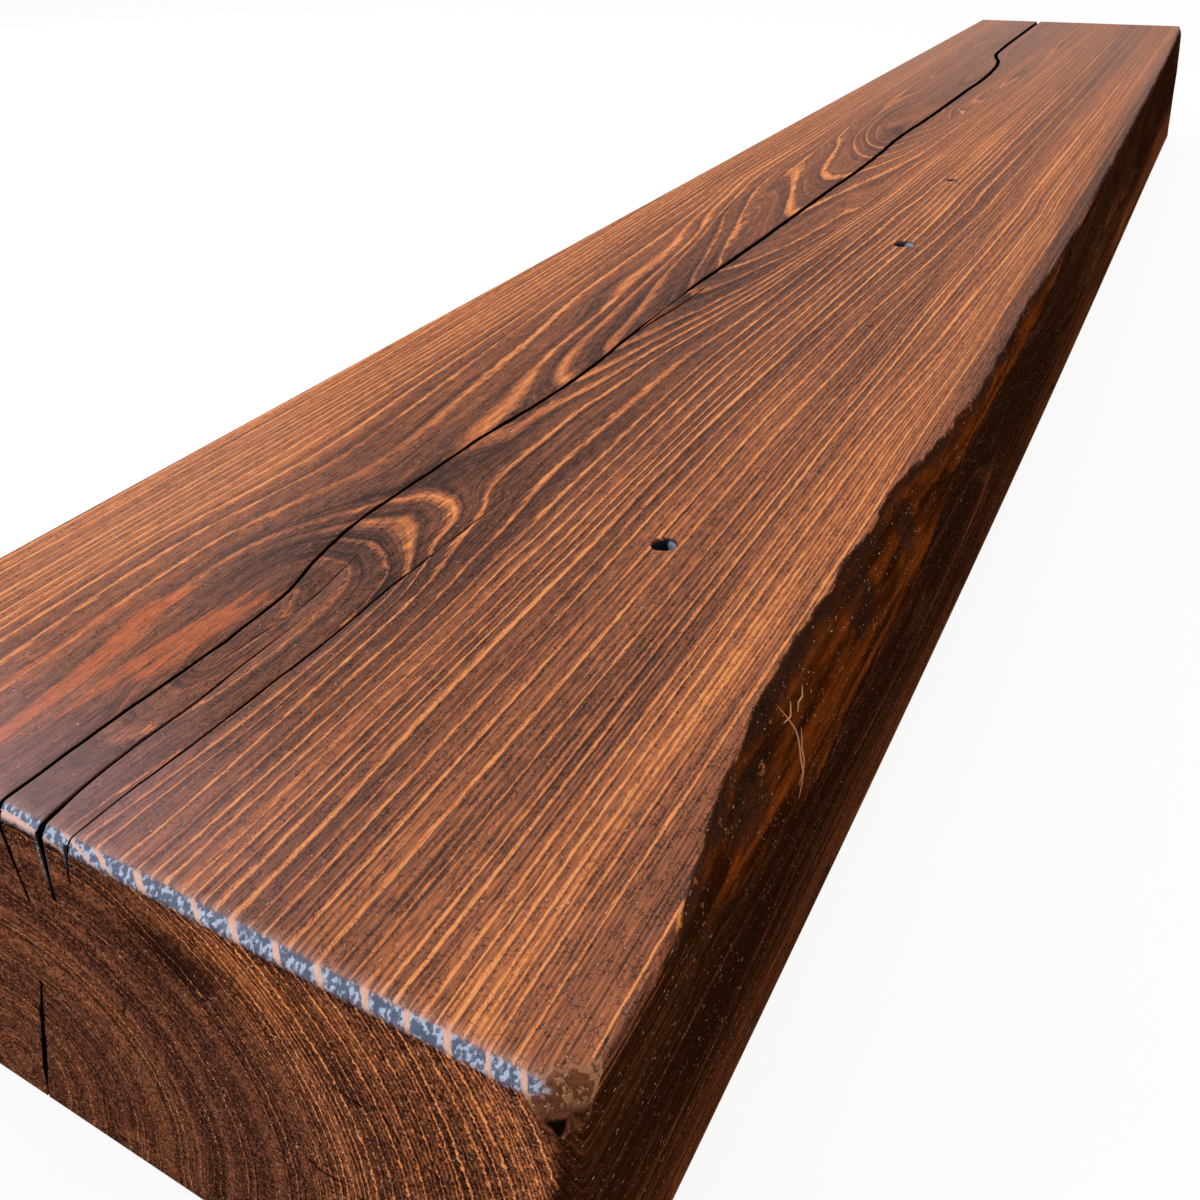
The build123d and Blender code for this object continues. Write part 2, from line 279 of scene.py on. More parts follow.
# How far the rings swell towards the top, and the y of their crest there, along the beam
SWELL = np.array([
    (0, 15.0), (40, 15.1), (80, 13.9), (110, 13.7), (135, 14.3), (160, 16.6), (180, 17.5),
    (200, 18.4), (220, 18.4), (245, 18.1), (280, 17.7), (320, 16.7), (380, 15.7),
    (450, 14.3), (520, 12.7), (600, 10.0), (680, 7.4), (760, 4.9), (840, 2.2), (920, 0.6),
    (1020, -1.3), (1200, -3.0), (1400, -3.0), (1632, -3.0),
])
CREST = np.array([
    (0, 31.6), (50, 24.8), (100, 27.7), (130, 29.1), (160, 27.7), (190, 24.6), (220, 26.5),
    (250, 28.4), (290, 30.5), (340, 34.6), (400, 35.1), (480, 33.6), (560, 37.6),
    (640, 42.0), (720, 44.1), (800, 41.4), (880, 47.0), (960, 48.2), (1100, 46.5),
    (1300, 45.2), (1632, 44.9),
])
# The swell and the crest as the flanks have them, where they change less
FLANK_SWELL = np.array([(0, 15.8), (450, 13.5), (690, 11.0), (1100, 8.5), (1632, 7.0)])
FLANK_CREST = np.array([(0, 28.5), (250, 29.5), (700, 41.0), (1632, 45.0)])
FLANK_REACH = 46.0
# Past this distance from the near end the measured lines' correction stops changing
LINES_END = 680.0
# Nothing is corrected below this z, nor past this distance from the near end
LINES_LOW, LINES_FAR = 60.0, 1100.0
# Distance from the heart beyond the top's height above it, and the ring number there
HEART_RINGS = [
    (-116, 3), (2.3, 51), (3.1, 52), (4.5, 53), (6.8, 54), (9.7, 55), (13.4, 56), (14.5, 57),
    (16.3, 58), (17.3, 59), (18.3, 60),
]
FRONT_RINGS = np.array(HEART_RINGS + [
    (19.1, 61), (22.1, 62), (24.7, 63), (26.4, 64), (28.8, 65), (30.5, 66), (31.9, 67),
    (33.3, 68), (41, 71), (45.5, 73), (50.6, 75), (66.4, 81), (77.7, 85), (104, 99),
])
BACK_RINGS = np.array(HEART_RINGS + [
    (23.1, 61), (28.2, 62), (31.7, 63), (38.1, 66.5), (47.5, 72.5), (56, 77),
])
CREST_HEIGHT = HEIGHT - PITH_Z
# Reach of a measured point's bell, how loosely the lines are held, and the distance between
# their points
LINE_REACH_ALONG = 45.0
LINE_REACH_ACROSS = 11.0
LINE_GIVE = 0.5
LINE_STEP = 18.0
# The beam's points are corrected in this many batches, to keep memory small
BATCHES = 60

# How wide the late wood of each ring is beside the usual, from FIRST_RING on
FIRST_RING = 50
RING_SPAN = 34
WIDEST = 4.0
RING_WIDTH = [1.2, 0.6, 0.7, 0.9, 1.0, 1.1, 0.9, 0.9, 1.1, 1.9, 1.5, 0.8, 1.1, 1.1, 1.1, 1.1,
              1.2, 1.3, 1.4]
# How strongly the late wood of each ring shows, from the ring after FIRST_RING on
RING_STRENGTH = [
    0.45, 0.5, 0.7, 0.85, 0.85, 0.8, 0.6, 0.75, 0.62, 0.68, 0.6, 0.75, 0.85, 0.95, 0.7, 0.8,
    0.8, 0.9, 0.3, 0.6, 0.8, 0.3, 0.95, 0.35, 0.75, 0.4, 0.65, 0.35, 0.5, 0.3,
]

# Lightness of the stain across the top, near and far: y, near the near end, far from it
TONE_ACROSS = np.array([
    (-132, 0.2, 0.1), (-120, 0.5, 0.3), (-114, 0.6, 0.48), (-102, 0.62, 0.66),
    (-90, 0.5, 0.6), (-78, 0.5, 0.54), (-66, 0.48, 0.46), (-54, 0.52, 0.54),
    (-42, 0.46, 0.57), (-30, 0.5, 0.62), (-18, 0.5, 0.62), (-6, 0.47, 0.6), (6, 0.42, 0.6),
    (18, 0.41, 0.6), (30, 0.38, 0.5), (42, 0.42, 0.5), (54, 0.45, 0.52), (66, 0.48, 0.54),
    (78, 0.52, 0.56), (90, 0.6, 0.56), (102, 0.66, 0.62), (114, 0.68, 0.64), (126, 0.7, 0.66),
])
# Patches: distance, y, half length, half width, how much lighter
TONE_PATCHES = [
    (150, 40, 50, 26, -0.14), (150, -5, 60, 14, -0.12), (222, 28, 30, 20, -0.08),
    (200, 88, 60, 10, 0.1), (330, 30, 60, 10, 0.06), (270, -60, 90, 10, 0.07),
    (400, -74, 60, 16, -0.05), (650, -43, 40, 7, 0.14), (840, -32, 110, 8, 0.13),
    (780, -92, 70, 9, 0.08), (860, 42, 60, 9, -0.1), (940, 62, 60, 10, -0.1),
    (1400, 62, 60, 8, -0.1), (1540, 62, 80, 6, -0.04), (1400, 92, 90, 12, -0.06),
    (1450, -116, 70, 8, -0.12), (120, -88, 60, 10, -0.07), (60, 56, 45, 8, 0.06),
    (25, 18, 26, 9, -0.1), (620, 100, 60, 9, 0.04), (28, -128.5, 32, 3, 0.35),
    (30, -85, 40, 20, 0.08), (60, -113, 60, 9, -0.14),
    (258, 31, 26, 9, -0.14), (320, -6, 28, 7, 0.1), (385, 30, 28, 7, 0.12), (440, 66, 34, 7, -0.1),
    (150, 4, 40, 8, -0.06), (1530, 36, 90, 10, 0.08), (820, -18, 90, 9, 0.04),
]
# Redder patches
RED_PATCHES = [(84, 42, 46, 10, 0.35), (30, 95, 60, 22, 0.35), (918, 55, 44, 10, 0.6)]
# Long wedges of red late wood: distance, y and half width at each point
RED_WEDGES = [
    [(-20, 52.0, 2.0), (34, 52.8, 2.6), (60, 55.0, 3.2), (84, 59.0, 4.0), (95, 61.5, 3.6),
     (104, 60.0, 2.0), (113, 60.2, 0.0)],
    [(-20, 66.0, 0.6), (50, 69.8, 1.2), (84, 72.0, 1.6), (104, 71.0, 0.8), (125, 68.0, 0.0)],
    [(36, 45.5, 0.0), (60, 45.0, 2.6), (84, 44.0, 2.8), (104, 42.0, 1.4), (118, 41.0, 0.0)],
    [(52, 38.5, 0.0), (76, 38.0, 2.4), (100, 37.4, 2.2), (125, 35.5, 0.0)],
]
# Where ring lines hardly show
FAINT_PATCHES = [(80, 50, 78, 17, 1.0), (205, 60, 62, 18, 0.65), (60, 40, 60, 8, 0.6),
                 (60, 27, 62, 6, 0.75)]
# Patches on the near end: y, z, half width, half height, how much lighter
END_PATCHES = [
    (-25, 106, 19, 8, -0.3), (-62, 112, 46, 12, 0.1), (19, 8, 9, 6, 0.16),
    (-112, 60, 14, 50, -0.05), (60, 70, 60, 30, 0.02), (-66, 100, 14, 7, -0.1),
]
# Short cracks in the near end: points of y and z, half width
END_CRACKS = [
    ([(-68, 91.5), (-75, 90.5), (-82, 92), (-85, 86), (-86.5, 80)], 0.5),
    ([(-55, 55.5), (-61, 54), (-66, 54.5), (-72, 51)], 0.5),
    ([(27.5, 24), (26, 14), (25.5, 4)], 0.3),
    ([(25.5, 4), (21, 6), (14, 8)], 0.3),
    ([(25, 104), (25.5, 96), (27, 88)], 0.35),
    ([(4, 83), (2, 77), (4, 70)], 0.4),
]
# Golden brown zones of the near end: y, z, half width, half height, strength
GOLDEN_END = [(-45, 112, 45, 14, 1.0), (-100, 80, 20, 40, 0.6)]
# Knots in the wane: distance, half length, depth
KNOTS = [(104.0, 17.0, 1.6), (206.0, 15.0, 1.9), (262.0, 12.0, 1.2)]
# Loose pale fibres on the wane: points of distance and height
FIBRES = [
    [(152, 119.5), (149, 117.4), (146, 117.6), (143, 116)],
    [(136, 123), (138.5, 114), (137, 106), (139.5, 98), (138, 90)],
    [(142, 113), (139, 108), (140, 102), (136, 97)],
    [(143, 120), (139, 117.5), (134, 118.5)],
]
FIBRE_RADIUS = 0.28
FIBRE_SIDES = 6
FIBRE_STANDS_OFF = 0.12

# Camera fitted to the photograph's edges: place in metres, right and up axes, lens
CAMERA_PLACE = (-0.91639, -0.19294, 0.31361)
CAMERA_RIGHT = (0.45585372, -0.88984452, -0.01934182)
CAMERA_UP = (0.4895037, 0.2324974, 0.84043506)
CAMERA_LENS = 34.457
SENSOR_WIDTH = 36.0
FLOOR_REACH = 9.0
# Lamps: name, place, target, size, power, colour. The sheen lamp mirrors off the near top.
LAMPS = [
    ("sheen", (-2.72, 2.025, 1.104), (-0.8, 0, 0.12), 1.2, 24.0, (0.8, 0.88, 1.0)),
    ("overhead", (0.2, 0.6, 2.4), (0.0, 0.0, 0.1), 2.2, 20.0, (1.0, 0.97, 0.94)),
    ("window", (0.7, 2.3, 1.3), (-0.6, 0.05, 0.12), 1.4, 14.0, (1.0, 0.96, 0.97)),
]


def srgb(r, g, b):
    """Scene-linear colour of an sRGB one given as 0 to 255."""
    c = np.array([r, g, b]) / 255
    return tuple(np.where(c <= 0.04045, c / 12.92, ((c + 0.055) / 1.055) ** 2.4).tolist())


def table_at(table, s, column=1):
    """Straight lines between a table's rows, at distances s."""
    return np.interp(s, table[:, 0], table[:, column])


def smooth_at(table, s, column=1):
    """Cubic Hermite curve through a table's rows, with the slope at each row taken from
    its neighbours: h00 y0 + h10 m0 + h01 y1 + h11 m1 on each span."""
    xs, ys = table[:, 0], table[:, column]
    s = np.clip(s, xs[0], xs[-1])
    m = np.gradient(ys, xs)
    i = np.clip(np.searchsorted(xs, s) - 1, 0, len(xs) - 2)
    h = xs[i + 1] - xs[i]
    t = (s - xs[i]) / h
    a, b = t * t * (3 - 2 * t), t * (1 - t)
    return (1 - a) * ys[i] + a * ys[i + 1] + h * b * ((1 - t) * m[i] - t * m[i + 1])


def ripple(u, v, seed):
    """Smooth value noise of -1 to 1: random numbers on a unit lattice in u and v, blended
    by 3t^2 - 2t^3 inside each cell."""
    lattice = np.random.default_rng(seed).uniform(-1, 1, (64, 64))
    u, v = np.broadcast_arrays(u, v)
    i, j = np.floor(u).astype(int), np.floor(v).astype(int)
    a, b = u - i, v - j
    a, b = a * a * (3 - 2 * a), b * b * (3 - 2 * b)
    low = lattice[i % 64, j % 64] * (1 - a) + lattice[(i + 1) % 64, j % 64] * a
    high = lattice[i % 64, (j + 1) % 64] * (1 - a) + lattice[(i + 1) % 64, (j + 1) % 64] * a
    return low * (1 - b) + high * b


def step(low, high, value):
    """0 below low, 1 above high and 3t^2 - 2t^3 between them."""
    t = np.clip((value - low) / (high - low), 0, 1)
    return t * t * (3 - 2 * t)


def front_foot(t):
    """Y of the front's foot: a parabola of crook plus a lopsided cubic one."""
    return FRONT_FOOT_Y - CROOK_EVEN * 4 * t * (1 - t) - CROOK_UNEVEN * 10 * t * (1 - t) * (0.5 - t)


def front_head(t):
    """Y of the front's head before the wane: the foot's, wound from end to end."""
    return front_foot(t) - NEAR_TOP_STANDS_OUT * (1 - t) + FAR_TOP_SETS_IN * t


def end_offset(y, z):
    """How far the out-of-square near end stands behind its first corner."""
    return NEAR_PLAN_SKEW * (y - FRONT_FOOT_Y) + NEAR_LEAN_BACK * z


def skewed(s, y, z):
    """Distance along the beam of station s at y and z: the near end's offset fades out."""
    return s + np.clip(1 - s / SKEW_FADES_OVER, 0, 1) * end_offset(y, z)


# The section of the beam as columns of points, for every station at once


def front_columns(s, relief):
    """Front face and wane. The face rises straight from its foot, wound along the beam. The
    wane is the curve (1 - k)^2 F + 2 k (1 - k) B + k^2 T from the face F to the top T, bent
    out to B. Ripples push both in, more where the wane is deep, and bells exp(-d^2) at the
    knots do so further."""
    at = skewed(s, FRONT_FOOT_Y, 60.0)[:, None]
    t = at / LENGTH
    inset, drop = smooth_at(WANE, at, 1), smooth_at(WANE, at, 2)
    foot, head = front_foot(t), front_head(t)
    slope = (head - foot) / HEIGHT
    rise = np.linspace(0, 1, FACE_POINTS)[None, :] ** 0.96
    z = rise * (HEIGHT - drop)
    y = foot + slope * z
    face_y, face_z = head - slope * drop, HEIGHT - drop
    top_y = head + inset
    bend_y = (face_y + top_y) / 2 - WANE_BULGE * drop
    bend_z = (face_z + HEIGHT) / 2 + 2 * WANE_BULGE * inset
    k = np.linspace(0, 1, WANE_POINTS + 1)[None, 1:]
    wane_y = (1 - k) ** 2 * face_y + 2 * k * (1 - k) * bend_y + k ** 2 * top_y
    wane_z = (1 - k) ** 2 * face_z + 2 * k * (1 - k) * bend_z + k ** 2 * HEIGHT
    y = np.concatenate([y, wane_y], 1)
    z = np.concatenate([z, wane_z], 1)
    up = z / HEIGHT
    rough = step(3, 14, drop)
    hollow = 0.5 + 0.5 * ripple(at / 37, up * 3.1, 1)
    grooves = 0.5 + 0.5 * ripple(at / 70, up * 15, 2)
    lumps = 0.5 + 0.5 * ripple(at / 13, up * 9, 3)
    high = step(0.55, 0.85, up)
    push = 0.35 * hollow + 0.35 * grooves + high * rough * relief * (hollow + 0.7 * lumps)
    for place, reach, depth in KNOTS:
        push += depth * np.exp(-((at - place) / reach) ** 2 - ((up - 0.93) / 0.09) ** 2)
    fade = step(0.0, 0.06, up) * (1 - step(0.985, 1.0, up))
    y = y + push * fade
    z = z - 0.35 * push * fade * high
    return y, z


def check_columns(s, table, columns, jagged):
    """One drying check: a V from lip to lip, its line and width from the table, its floor
    leaning (PITH_Y - y) depth / CREST_HEIGHT towards the heart, its lips a little ragged and
    narrow at the very end of the beam."""
    at = skewed(s, 30.0, HEIGHT)[:, None]
    centre = smooth_at(table, at, 1)
    width = np.maximum(table_at(table, at, 2), LEAST_CHECK)
    depth = np.clip(table_at(table, at, 3), 0, None)
    open_ = step(0.5, 4.0, depth)
    centre = centre + open_ * jagged * ripple(at / 9, 0.5, 7 + columns)
    side = np.array(CHECK_SIDES[columns], float)
    half = np.concatenate([-side[:, 0], [0], side[::-1, 0]])[None, :]
    fall = np.concatenate([side[:, 1], [1], side[::-1, 1]])[None, :]
    tight = np.where(np.abs(half) > 0.9, 1.0, 0.35 + 0.65 * step(0, 14, at))
    half = half * tight
    lean = (PITH_Y - centre) * depth / CREST_HEIGHT
    wobble = open_ * 0.14 * ripple(at / 5, half * 3 + 9, 11)
    y = centre + lean * fall + (width / 2 + wobble) * half
    z = HEIGHT - depth * fall - 0.12 * open_ * (fall < 0.01)
    return y, z


def between(left, right, columns, first=None, last=None):
    """Columns evenly between two lines on the top, with the first and last close to a lip
    where their distances are given."""
    k = np.linspace(0, 1, columns + 2)[None, 1:-1]
    y = left[:, None] * (1 - k) + right[:, None] * k
    gap = right - left
    if first is not None:
        y[:, 0] = left + np.minimum(first, gap / (columns + 1))
    if last is not None:
        y[:, -1] = right - np.minimum(last, gap / (columns + 1))
    return y, np.full_like(y, HEIGHT)


def top_columns(s, arris, jagged):
    """The top from the arris to the back, in bands between the drying checks."""
    main = smooth_at(MAIN_CHECK, skewed(s, 30.0, HEIGHT), 1)
    fork_y, fork_z = check_columns(s, FORK_CHECK, 3, jagged * 0.4)
    fork_y = fork_y + main[:, None]
    third = check_columns(s, THIRD_CHECK, 5, jagged)
    second = check_columns(s, SECOND_CHECK, 5, jagged)
    hair = check_columns(s, HAIR_CHECK, 3, jagged * 0.4)
    wide = check_columns(s, MAIN_CHECK, 9, jagged)
    back_lip = np.full(len(s), BACK_Y - BACK_ARRIS)
    bands = {
        "field": between(arris, third[0][:, 0], FIELD_POINTS, None, LIP_GAP),
        "third": third,
        "third to second": between(third[0][:, -1], second[0][:, 0], 4, LIP_GAP, LIP_GAP),
        "second": second,
        "second to hair": between(second[0][:, -1], hair[0][:, 0], 2, LIP_GAP, LIP_GAP),
        "hair": hair,
        "hair to fork": between(hair[0][:, -1], fork_y[:, 0], 2, LIP_GAP, LIP_GAP),
        "fork": (fork_y, fork_z),
        "fork to main": between(fork_y[:, -1], wide[0][:, 0], 1),
        "main": wide,
        "rear": between(wide[0][:, -1], back_lip, REAR_POINTS, LIP_GAP, 0.9 * BACK_ARRIS),
    }
    ends = np.cumsum([y.shape[1] for y, _ in bands.values()])
    spans = {name: (end - band[0].shape[1], end) for (name, band), end in zip(bands.items(), ends)}
    y = np.concatenate([y for y, _ in bands.values()], 1)
    z = np.concatenate([z for _, z in bands.values()], 1)
    return y, z, spans


def back_columns(s):
    """The back, with its two eased arrises."""
    drop = BACK_ARRIS * np.array([0.0, 0.3, 1.0, 2.0])
    inset = BACK_ARRIS * np.array([1.0, 0.3, 0.0, 0.0])
    z = np.concatenate([HEIGHT - drop, np.linspace(118, 9, BACK_POINTS), drop[::-1]])
    y = BACK_Y - np.concatenate([inset, np.zeros(BACK_POINTS), inset[::-1]])
    return np.tile(y, (len(s), 1)), np.tile(z, (len(s), 1))


def bottom_columns(s):
    at = skewed(s, END_CHECK_Y, 0.0) - skewed(0.0, END_CHECK_Y, 0.0)
    open_ = np.clip(1 - at / END_CHECK_REACH, 0, 1)[:, None]
    size = END_CHECK_TAIL + (1 - END_CHECK_TAIL) * open_
    side_y, side_z, half = (END_CHECK[:, i][None, :] for i in range(3))
    half = np.maximum(half * open_, 0.02)
    lying = (at > END_CHECK_REACH)[:, None]
    mouth = END_CHECK[0, 0]
    flat = np.array([1.6, 1.2, 0.8, 0.4])[None, :]
    near_y = np.where(lying, mouth + flat, side_y + half)
    far_y = np.where(lying, mouth - flat, side_y - half)
    side_z = np.where(lying, 0.0, side_z * size)
    tip_y = np.where(lying, mouth, END_CHECK_TIP[0])
    tip_z = np.where(lying, 0.0, END_CHECK_TIP[1] * size)
    y = np.concatenate([near_y, tip_y, far_y[:, ::-1]], 1)
    z = np.concatenate([side_z, tip_z, side_z[:, ::-1]], 1)
    behind, _ = between(np.full(len(s), BACK_Y - BACK_ARRIS), y[:, 0], BEHIND_POINTS)
    behind[:, 0] = BACK_Y - 2 * BACK_ARRIS
    foot = front_foot(skewed(s, FRONT_FOOT_Y, 0.0) / LENGTH)
    ahead, _ = between(y[:, -1], foot, AHEAD_POINTS)
    return (
        np.concatenate([behind, y, ahead], 1),
        np.concatenate([np.zeros_like(behind), z, np.zeros_like(ahead)], 1),
    )


def trimmed(points, a, b, c, soft=0.5, uneven=0.0):
    """Moves what lies beyond the plane through a, b and c back on to it. With d the
    distance beyond, the point goes back by (d + sqrt(d^2 + soft^2)) / 2, so edges are soft."""
    a, b, c = (np.array(p, float) for p in (a, b, c))
    normal = np.cross(b - a, c - a)
    normal /= np.linalg.norm(normal)
    if normal @ (a - np.array([0, 0, HEIGHT / 2])) < 0:
        normal = -normal
    d = (points - a) @ normal
    if uneven:
        d = d + uneven * (0.5 + 0.5 * ripple(points[:, 1] / 4.1, points[:, 2] / 4.7, 21))
    back = np.where(d > -4 * soft, 0.5 * (d + np.sqrt(d * d + soft * soft)), 0)
    back = back - np.where(d > -4 * soft, 0.5 * (np.sqrt(17) - 4) * soft, 0)
    return points - np.clip(back, 0, None)[:, None] * normal


def near_point(y, z):
    """Point at y and z on the near end's leaning plane."""
    return np.array([NEAR_X + end_offset(y, z), y, z])


def worn(points):
    """The eased ends, the worn upright arris and the chip out of the near front corner."""
    near = points[:, 0] < NEAR_X + NEAR_WEAR_REACH
    moved = points.copy()
    part = points[near]
    along, down = np.array([END_EASING, 0, 0]), np.array([0, 0, -END_EASING])
    back, front = near_point(BACK_Y, HEIGHT), near_point(FRONT_FOOT_Y, HEIGHT)
    part = trimmed(part, back + along, front + along, front + down, 0.5, 0.45)
    foot_y, head_y = front_foot(0.0), front_head(0.0) + WANE[0, 1]
    foot = near_point(foot_y, 0) + [CORNER_WEAR, 0, 0]
    head = near_point(head_y, HEIGHT) + [CORNER_WEAR, 0, 0]
    part = trimmed(part, foot, head, near_point(foot_y + CORNER_WEAR, 0), 1.0, 0.9)
    chip = near_point(head_y, HEIGHT) + [CHIP_ALONG, 0, 0]
    before = part
    part = trimmed(part, chip, near_point(head_y + CHIP_ACROSS, HEIGHT),
                   near_point(head_y, HEIGHT - CHIP_DOWN), 1.4, 1.3)
    fresh = np.zeros(len(points))
    fresh[near] = step(0.15, 0.7, np.linalg.norm(part - before, axis=1))
    moved[near] = part
    far = points[:, 0] > FAR_X - FAR_WEAR_REACH
    top = np.array([FAR_X, 0, HEIGHT])
    moved[far] = trimmed(points[far], top - along, top - along + [0, 50, 0], top + down, 0.5, 0.3)
    return moved, fresh


def stations():
    """Distances along the beam, closest together near the camera and at the ends."""
    runs = [np.arange(*run) for run in STATION_RUNS]
    return np.concatenate([NEAR_STATIONS, *runs, FAR_STATIONS])


def inside(points, loop):
    """Whether each point is in the closed loop, by counting the edges that a ray crosses,
    and its distance from the nearest edge."""
    a, b = loop, np.roll(loop, -1, 0)
    x, y = points[:, 0][:, None], points[:, 1][:, None]
    rising = (a[:, 1] > y) != (b[:, 1] > y)
    rise = np.where(b[:, 1] == a[:, 1], 1e-9, b[:, 1] - a[:, 1])
    crossed = rising & (x < a[:, 0] + (y - a[:, 1]) * (b[:, 0] - a[:, 0]) / rise)
    along = b - a
    size = np.maximum((along ** 2).sum(1), 1e-12)
    t = np.clip(((x - a[:, 0]) * along[:, 0] + (y - a[:, 1]) * along[:, 1]) / size, 0, 1)
    gap = np.hypot(x - a[:, 0] - t * along[:, 0], y - a[:, 1] - t * along[:, 1])
    return crossed.sum(1) % 2 == 1, gap.min(1)


def end_cap(loop, spacing):
    """Fills an end's outline, given as y and z, with even triangles: a staggered lattice
    of points inside it plus three rows under the top's arris."""
    ys = np.arange(-END_ACROSS, END_ACROSS, spacing)
    zs = np.arange(END_LOW, END_HIGH, spacing * 0.87)
    grid = np.stack(np.meshgrid(ys, zs), -1)
    grid[1::2, :, 0] += spacing / 2
    grid = grid.reshape(-1, 2)
    shift = [ripple(grid[:, 0] / 2.3, grid[:, 1] / 2.1, 31),
             ripple(grid[:, 0] / 1.9, grid[:, 1] / 2.7, 32)]
    grid = grid + 0.22 * spacing * np.stack(shift, 1)
    across = np.arange(1 - END_ACROSS, END_ACROSS - 1, spacing * 0.9)
    rows = np.stack(np.meshgrid(across, HEIGHT - ARRIS_ROWS), -1)
    grid = np.concatenate([grid, rows.reshape(-1, 2)])
    within, gap = inside(grid, loop)
    clear = np.where(grid[:, 1] > END_HIGH, LEAST_GAP, spacing * 0.3)
    grid = grid[within & (gap > clear)]
    count = len(loop)
    edges = [(i, (i + 1) % count) for i in range(count)]
    points, _, faces, origin, _, _ = delaunay_2d_cdt(
        [Vector(p) for p in np.concatenate([loop, grid])], edges, [], 1, 1e-5
    )
    points = np.array([tuple(p) for p in points])
    source = np.array([o[0] if o else -1 for o in origin])
    return points, np.array(faces), source


def placed(points):
    """Distance from the near end, y and z of points in the frame."""
    return points[:, 0] - NEAR_X, points[:, 1], points[:, 2]


def beam_points(s, y, z):
    """Places station points in the frame: the end's skew fades out along the beam."""
    x = NEAR_X + skewed(s, y, z)
    return np.stack([x, y, z], -1)


def hole_block(at, top_y, place, y, diameter):
    """Rows and columns of the block of top cells that a nail hole takes the place of."""
    reach = diameter * 0.5 + HOLE_MARGIN
    rows = np.flatnonzero(np.abs(at - place) < reach)
    columns = np.flatnonzero(np.abs(top_y[np.searchsorted(at, place)] - y) < reach)
    return max(rows.min() - 1, 0), rows.max() + 1, columns.min() - 1, columns.max() + 1


class Skin:
    """Points, faces and hollow mask of the beam, gathered part by part."""

    def __init__(self):
        self.points, self.hollow, self.faces, self.count = [], [], [], 0

    def add(self, points, hollow):
        """Adds points with their mask, and gives their numbers."""
        self.points.append(points)
        self.hollow.append(np.broadcast_to(hollow, len(points)))
        self.count += len(points)
        return np.arange(self.count - len(points), self.count)

    def band(self, outer, inner):
        """Quads between two closed rings of point numbers."""
        corners = [outer, np.roll(outer, -1), np.roll(inner, -1), inner]
        self.faces += np.stack(corners, -1).tolist()


def section_grid(s, relief):
    """Y and Z of the section at every station, its hollow mask, the top's own Y and the
    number of the top's first column."""
    front_y, front_z = front_columns(s, relief.wane * 1000)
    top_y, top_z, spans = top_columns(s, front_y[:, -1], relief.lips * 1000)
    back_y, back_z = back_columns(s)
    under_y, under_z = bottom_columns(s)
    y = np.concatenate([front_y, top_y, back_y, under_y], 1)
    z = np.concatenate([front_z, top_z, back_z, under_z], 1)
    hollow = np.zeros(y.shape)
    first = front_y.shape[1]
    for name in ("third", "second", "hair", "fork", "main"):
        here = slice(first + spans[name][0], first + spans[name][1])
        hollow[:, here] = step(0.1, 0.55, HEIGHT - z[:, here])
    start = first + top_y.shape[1] + back_y.shape[1] + BEHIND_POINTS
    here = slice(start, start + 2 * len(END_CHECK) + 1)
    hollow[:, here] = step(0.2, 2.5, z[:, here])
    return y, z, hollow, top_y, first


def sink_hole(skin, grid, index, block, hole, seed):
    """Puts a nail hole in the place of a block of cells: rings of cells lead from the block's
    rim to a ragged lip, r = d / 2 (1 + 0.07 ripple), and down the shaft to its floor."""
    place, across, diameter, depth = hole
    i0, i1, j0, j1 = block
    rim = np.concatenate([index[i0, j0:j1], index[i0:i1, j1], index[i1, j1:j0:-1],
                          index[i1:i0:-1, j0]])
    outer = grid.reshape(-1, 3)[rim]
    middle = np.array([NEAR_X + place, across, HEIGHT])
    turn = np.arctan2(outer[:, 1] - across, outer[:, 0] - NEAR_X - place)
    radius = diameter / 2 * (1 + 0.07 * ripple(turn * 1.4 + 5, seed, 41))
    spoke = np.stack([radius * np.cos(turn), radius * np.sin(turn), 0 * turn], -1)
    lip = middle + spoke * HOLE_WALL[0][0]
    rings = [(outer * (1 - inward) + lip * inward, 0.0) for inward in HOLE_FLAT]
    rings += [(middle + spoke * scale, sink + share * depth) for scale, sink, share in HOLE_WALL]
    previous = rim
    for ring, sink in rings:
        now = skin.add(ring - [0, 0, sink], step(0.3, 1.6, sink))
        skin.band(previous, now)
        previous = now
    hub = skin.add((middle - [0, 0, depth + 0.6])[None], 1.0)
    fan = np.stack([previous, np.roll(previous, -1), np.repeat(hub, len(rim))], -1)
    skin.faces += fan.tolist()


def close_end(skin, s, y, z, row_index, spacing, roughness):
    """Fills the outline of one end. Its own points stand out of the cut by ripples that fade
    to nothing at the outline."""
    near = s < LENGTH / 2
    loop = np.stack([y, z], -1)
    flat, triangles, source = end_cap(loop, spacing)
    border = (source >= 0) & (source < len(loop))
    added = flat[~border]
    rough = ripple(added[:, 0] / 5, added[:, 1] / 5, 51)
    rough = 1.8 + rough + 0.8 * ripple(added[:, 0] / 2.2, added[:, 1] / 2.2, 53)
    _, gap = inside(added, loop)
    points = beam_points(np.full(len(added), s), added[:, 0], added[:, 1])
    points[:, 0] += (1 if near else -1) * roughness * 1000 * rough * step(0, 6, gap)
    number = np.full(len(flat), -1)
    number[border] = row_index[source[border]]
    number[~border] = skin.add(points, 0.0)
    skin.faces += number[triangles].tolist()


